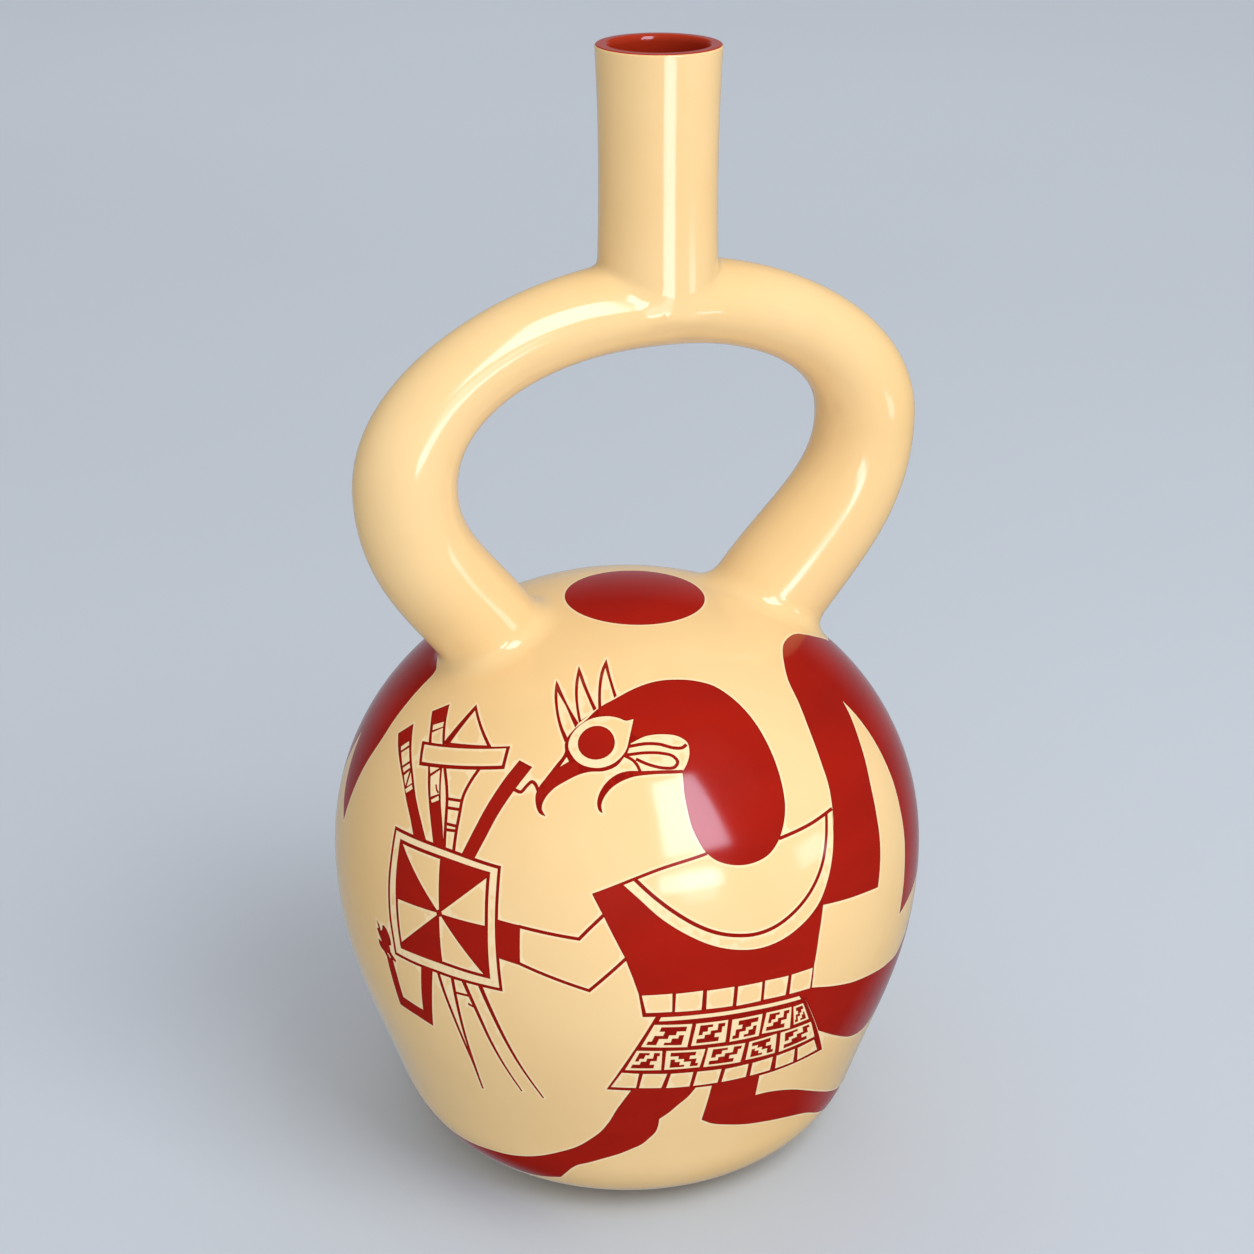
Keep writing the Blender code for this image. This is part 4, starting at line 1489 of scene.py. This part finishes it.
def blend_colour(tree, share, first, second, where):
    """Mixes two colours, each a socket or a plain colour."""
    node = tree.nodes.new("ShaderNodeMix")
    node.data_type = "RGBA"
    node.location = where
    tree.links.new(share, node.inputs["Factor"])
    for name, value in (("A", first), ("B", second)):
        socket = [s for s in node.inputs if s.name == name and s.type == "RGBA"][0]
        if isinstance(value, bpy.types.NodeSocket):
            tree.links.new(value, socket)
        else:
            socket.default_value = value
    return [s for s in node.outputs if s.type == "RGBA"][0]


def bump(tree, shader, height, strength, where):
    """Slight unevenness of a surface."""
    node = tree.nodes.new("ShaderNodeBump")
    node.location = where
    node.inputs["Strength"].default_value = strength
    node.inputs["Distance"].default_value = BUMP_DISTANCE
    tree.links.new(height, node.inputs["Height"])
    tree.links.new(node.outputs["Normal"], shader.inputs["Normal"])


def attribute(tree, name, where):
    """A value stored on the piece."""
    node = tree.nodes.new("ShaderNodeAttribute")
    node.attribute_name = name
    node.location = where
    return node.outputs["Fac"]


def slip_material(colours):
    """Polished cream slip with the red painting, a pale edge beside the red, and a high gloss."""
    material, shader = new_material("painted_slip")
    tree = material.node_tree
    cloud = noise(tree, 14.0, 4.0, (-800, 300))
    depth = spread(tree, cloud, 0.35, 0.7, 0.0, 1.0, (-600, 300))
    ground = blend_colour(tree, depth, colours.cream, colours.cream_deep, (-400, 300))
    gap = attribute(tree, "paint_gap", (-800, 100))
    halo = spread(tree, gap, 0.30, 0.75, 0.85, 0.0, (-600, 100))
    ground = blend_colour(tree, halo, ground, colours.cream_pale, (-200, 300))
    brush = noise(tree, 30.0, 5.0, (-800, -150), (1.0, 1.0, 3.0))
    stroke = spread(tree, brush, 0.3, 0.75, 0.0, 1.0, (-600, -150))
    paint = blend_colour(tree, stroke, colours.red, colours.red_deep, (-400, -150))
    brim = spread(tree, gap, 0.10, 0.50, 0.6, 0.0, (-600, -350))
    paint = blend_colour(tree, brim, paint, colours.red_brim, (-200, -150))
    place = tree.nodes.new("ShaderNodeTexCoord")
    split = tree.nodes.new("ShaderNodeSeparateXYZ")
    tree.links.new(place.outputs["Object"], split.inputs[0])
    # towards the top of the spout the painting's red turns to the oranger mouth red
    mouth = spread(tree, split.outputs["Z"], *MOUTH_FADE, 0.0, 1.0, (-400, -350))
    paint = blend_colour(tree, mouth, paint, colours.red_mouth, (0, -150))
    mask = attribute(tree, "painted", (-200, 0))
    base = blend_colour(tree, mask, ground, paint, (100, 100))
    tree.links.new(base, shader.inputs["Base Color"])
    haze = noise(tree, 60.0, 3.0, (-200, -350))
    gloss = spread(tree, haze, 0.3, 0.7, 0.09, 0.14, (100, -250))
    tree.links.new(gloss, shader.inputs["Roughness"])
    shader.inputs["IOR"].default_value = SLIP_IOR
    ripple = noise(tree, 45.0, 2.0, (-200, -550), (1.0, 1.0, 0.5))
    bump(tree, shader, ripple, 0.10, (300, -450))
    return material


def clay_material(colours):
    """Bare fired clay, dull and grainy."""
    material, shader = new_material("bare_clay")
    tree = material.node_tree
    cloud = noise(tree, 90.0, 6.0, (-600, 200))
    share = spread(tree, cloud, 0.35, 0.65, 0.0, 1.0, (-400, 200))
    dark = tuple(c * 0.6 for c in colours.clay[:3]) + (1.0,)
    base = blend_colour(tree, share, colours.clay, dark, (-100, 200))
    tree.links.new(base, shader.inputs["Base Color"])
    grain = noise(tree, 900.0, 3.0, (-200, -200))
    tree.links.new(spread(tree, grain, 0.3, 0.7, 0.75, 0.95, (0, -100)), shader.inputs["Roughness"])
    bump(tree, shader, grain, 0.5, (300, -300))
    return material


def floor_material(colour_of_floor):
    """Plain matt paper with a very slight cloudiness."""
    material, shader = new_material("studio_paper")
    tree = material.node_tree
    cloud = noise(tree, 1.5, 2.0, (-400, 200))
    share = spread(tree, cloud, 0.3, 0.7, 0.0, 1.0, (-200, 200))
    pale = tuple(colour_of_floor)
    dim = tuple(c * 0.97 for c in pale[:3]) + (1.0,)
    tree.links.new(blend_colour(tree, share, pale, dim, (100, 200)), shader.inputs["Base Color"])
    shader.inputs["Roughness"].default_value = 0.9
    shader.inputs["Specular IOR Level"].default_value = 0.1
    return material


# Studio

GLOSS_TINT = (0.73, 0.81, 1.0)
AIR_TINT, AIR_STRENGTH = (0.99, 0.98, 0.97, 1.0), 0.64
REFLECTED_TINT = (0.78, 0.88, 1.0, 1.0)
REFLECTED_RANGE = (0.60, 1.0, 0.03, 0.45)  # how far ahead a ray goes, from and to, then strengths
FLOOR_SIZE = 8.0
AIM_HEIGHT = 0.15
LAMPS = (
    # name, turn from the camera in degrees, height of the middle, distance, width and height in
    # metres, power in watts, and whether it is seen in the gloss alone or lights the piece
    ("upper_softbox", 28.0, 0.865, 0.80, 0.38, 0.83, 12.2, True),
    ("lower_window", 26.0, 0.26, 0.80, 0.18, 0.22, 0.50, True),
    ("spout_strip", 22.0, 0.172, 0.35, 0.136, 0.045, 0.22, True),
    ("side_strip", 68.0, 0.14, 0.35, 0.08, 0.05, 0.07, True),
    ("key_light", 46.0, 1.50, 1.10, 1.00, 1.00, 15.1, False),
    ("front_fill", 10.0, 0.25, 1.30, 1.30, 0.45, 5.9, False),
    ("back_wash", 180.0, 1.50, 1.80, 2.40, 1.20, 7.2, False),
)


class BOTTLE_OT_studio(bpy.types.Operator):
    """Makes the plain floor, the soft lights and the camera"""

    bl_idname = "bottle.studio"
    bl_label = "Studio"

    def execute(self, context):
        scene = context.scene
        studio = scene.bottle_studio
        bpy.ops.object.select_all(action="DESELECT")
        bpy.ops.mesh.primitive_plane_add(size=FLOOR_SIZE, location=(0, 0, 0))
        floor = context.object
        floor.name = "floor"
        floor.data.materials.append(floor_material(studio.floor))
        floor.visible_glossy = False

        facing = -0.5 * pi - studio.view_turn
        for name, turn, height, distance, width, tall, power, in_gloss in LAMPS:
            aim = facing + radians(turn)
            place = Vector((distance * cos(aim), distance * sin(aim), height))
            light = bpy.data.lights.new(name, "AREA")
            light.shape = "RECTANGLE"
            light.size = width
            light.size_y = tall
            light.energy = power
            if in_gloss:
                light.color = GLOSS_TINT
            lamp = bpy.data.objects.new(name, light)
            scene.collection.objects.link(lamp)
            lamp.location = place
            lamp.visible_camera = False
            lamp.visible_glossy = in_gloss
            lamp.visible_diffuse = not in_gloss
            aim_at = Vector((0, 0, height if in_gloss else AIM_HEIGHT))
            if name == "back_wash":  # straight down, and its top edge away from the bottle
                aim_at = Vector((1.05 * place.x, 1.05 * place.y, 0))
            lamp.rotation_euler = (aim_at - place).to_track_quat("-Z", "Y").to_euler()

        world = bpy.data.worlds.new("studio_air")
        world.use_nodes = True
        tree = world.node_tree
        air = tree.nodes["Background"]
        air.inputs["Color"].default_value = AIR_TINT
        air.inputs["Strength"].default_value = AIR_STRENGTH
        dusk = tree.nodes.new("ShaderNodeBackground")
        dusk.inputs["Color"].default_value = REFLECTED_TINT
        way = tree.nodes.new("ShaderNodeTexCoord")
        behind = tree.nodes.new("ShaderNodeVectorMath")
        behind.operation = "DOT_PRODUCT"
        level, drop = cos(studio.view_pitch), sin(studio.view_pitch)
        behind.inputs[1].default_value = (-level * cos(facing), -level * sin(facing), -drop)
        tree.links.new(way.outputs["Generated"], behind.inputs[0])
        glow = spread(tree, behind.outputs["Value"], *REFLECTED_RANGE, (-200, -200))
        tree.links.new(glow, dusk.inputs["Strength"])
        path = tree.nodes.new("ShaderNodeLightPath")
        choice = tree.nodes.new("ShaderNodeMixShader")
        tree.links.new(path.outputs["Is Glossy Ray"], choice.inputs[0])
        tree.links.new(air.outputs["Background"], choice.inputs[1])
        tree.links.new(dusk.outputs["Background"], choice.inputs[2])
        tree.links.new(choice.outputs["Shader"], tree.nodes["World Output"].inputs["Surface"])
        scene.world = world

        camera = bpy.data.objects.new("camera", bpy.data.cameras.new("camera"))
        scene.collection.objects.link(camera)
        camera.data.lens = studio.view_lens
        camera.data.sensor_width = 36.0
        camera.location = (
            studio.view_distance * cos(facing),
            studio.view_distance * sin(facing),
            studio.view_height,
        )
        camera.rotation_euler = (0.5 * pi - studio.view_pitch, 0.0, facing + 0.5 * pi)
        scene.camera = camera
        scene.view_settings.view_transform = "Standard"
        return {"FINISHED"}


class BOTTLE_PT_panel(bpy.types.Panel):
    """Shows the bottle's settings and the buttons that build it"""

    bl_label = "Stirrup-Spout Bottle"
    bl_idname = "BOTTLE_PT_panel"
    bl_space_type = "VIEW_3D"
    bl_region_type = "UI"
    bl_category = "Bottle"

    def draw(self, context):
        scene = context.scene
        for group in (scene.bottle_sizes, scene.bottle_colours, scene.bottle_studio):
            column = self.layout.column()
            for name in group.__annotations__:
                column.prop(group, name)
        self.layout.operator("bottle.skin")
        self.layout.operator("bottle.studio")


def main():
    """Registers everything and builds the bottle and its studio in order."""
    register()
    bpy.ops.bottle.skin()
    bpy.ops.bottle.studio()


CLASSES = (
    BottleSizes,
    BottleColours,
    BottleStudio,
    BOTTLE_OT_skin,
    BOTTLE_OT_studio,
    BOTTLE_PT_panel,
)


def register():
    """Registers the classes and their settings."""
    for item in CLASSES:
        bpy.utils.register_class(item)
    bpy.types.Scene.bottle_sizes = bpy.props.PointerProperty(type=BottleSizes)
    bpy.types.Scene.bottle_colours = bpy.props.PointerProperty(type=BottleColours)
    bpy.types.Scene.bottle_studio = bpy.props.PointerProperty(type=BottleStudio)


def unregister():
    """Takes the classes and their settings away."""
    del bpy.types.Scene.bottle_studio
    del bpy.types.Scene.bottle_colours
    del bpy.types.Scene.bottle_sizes
    for item in reversed(CLASSES):
        bpy.utils.unregister_class(item)


if __name__ == "__main__":
    main()
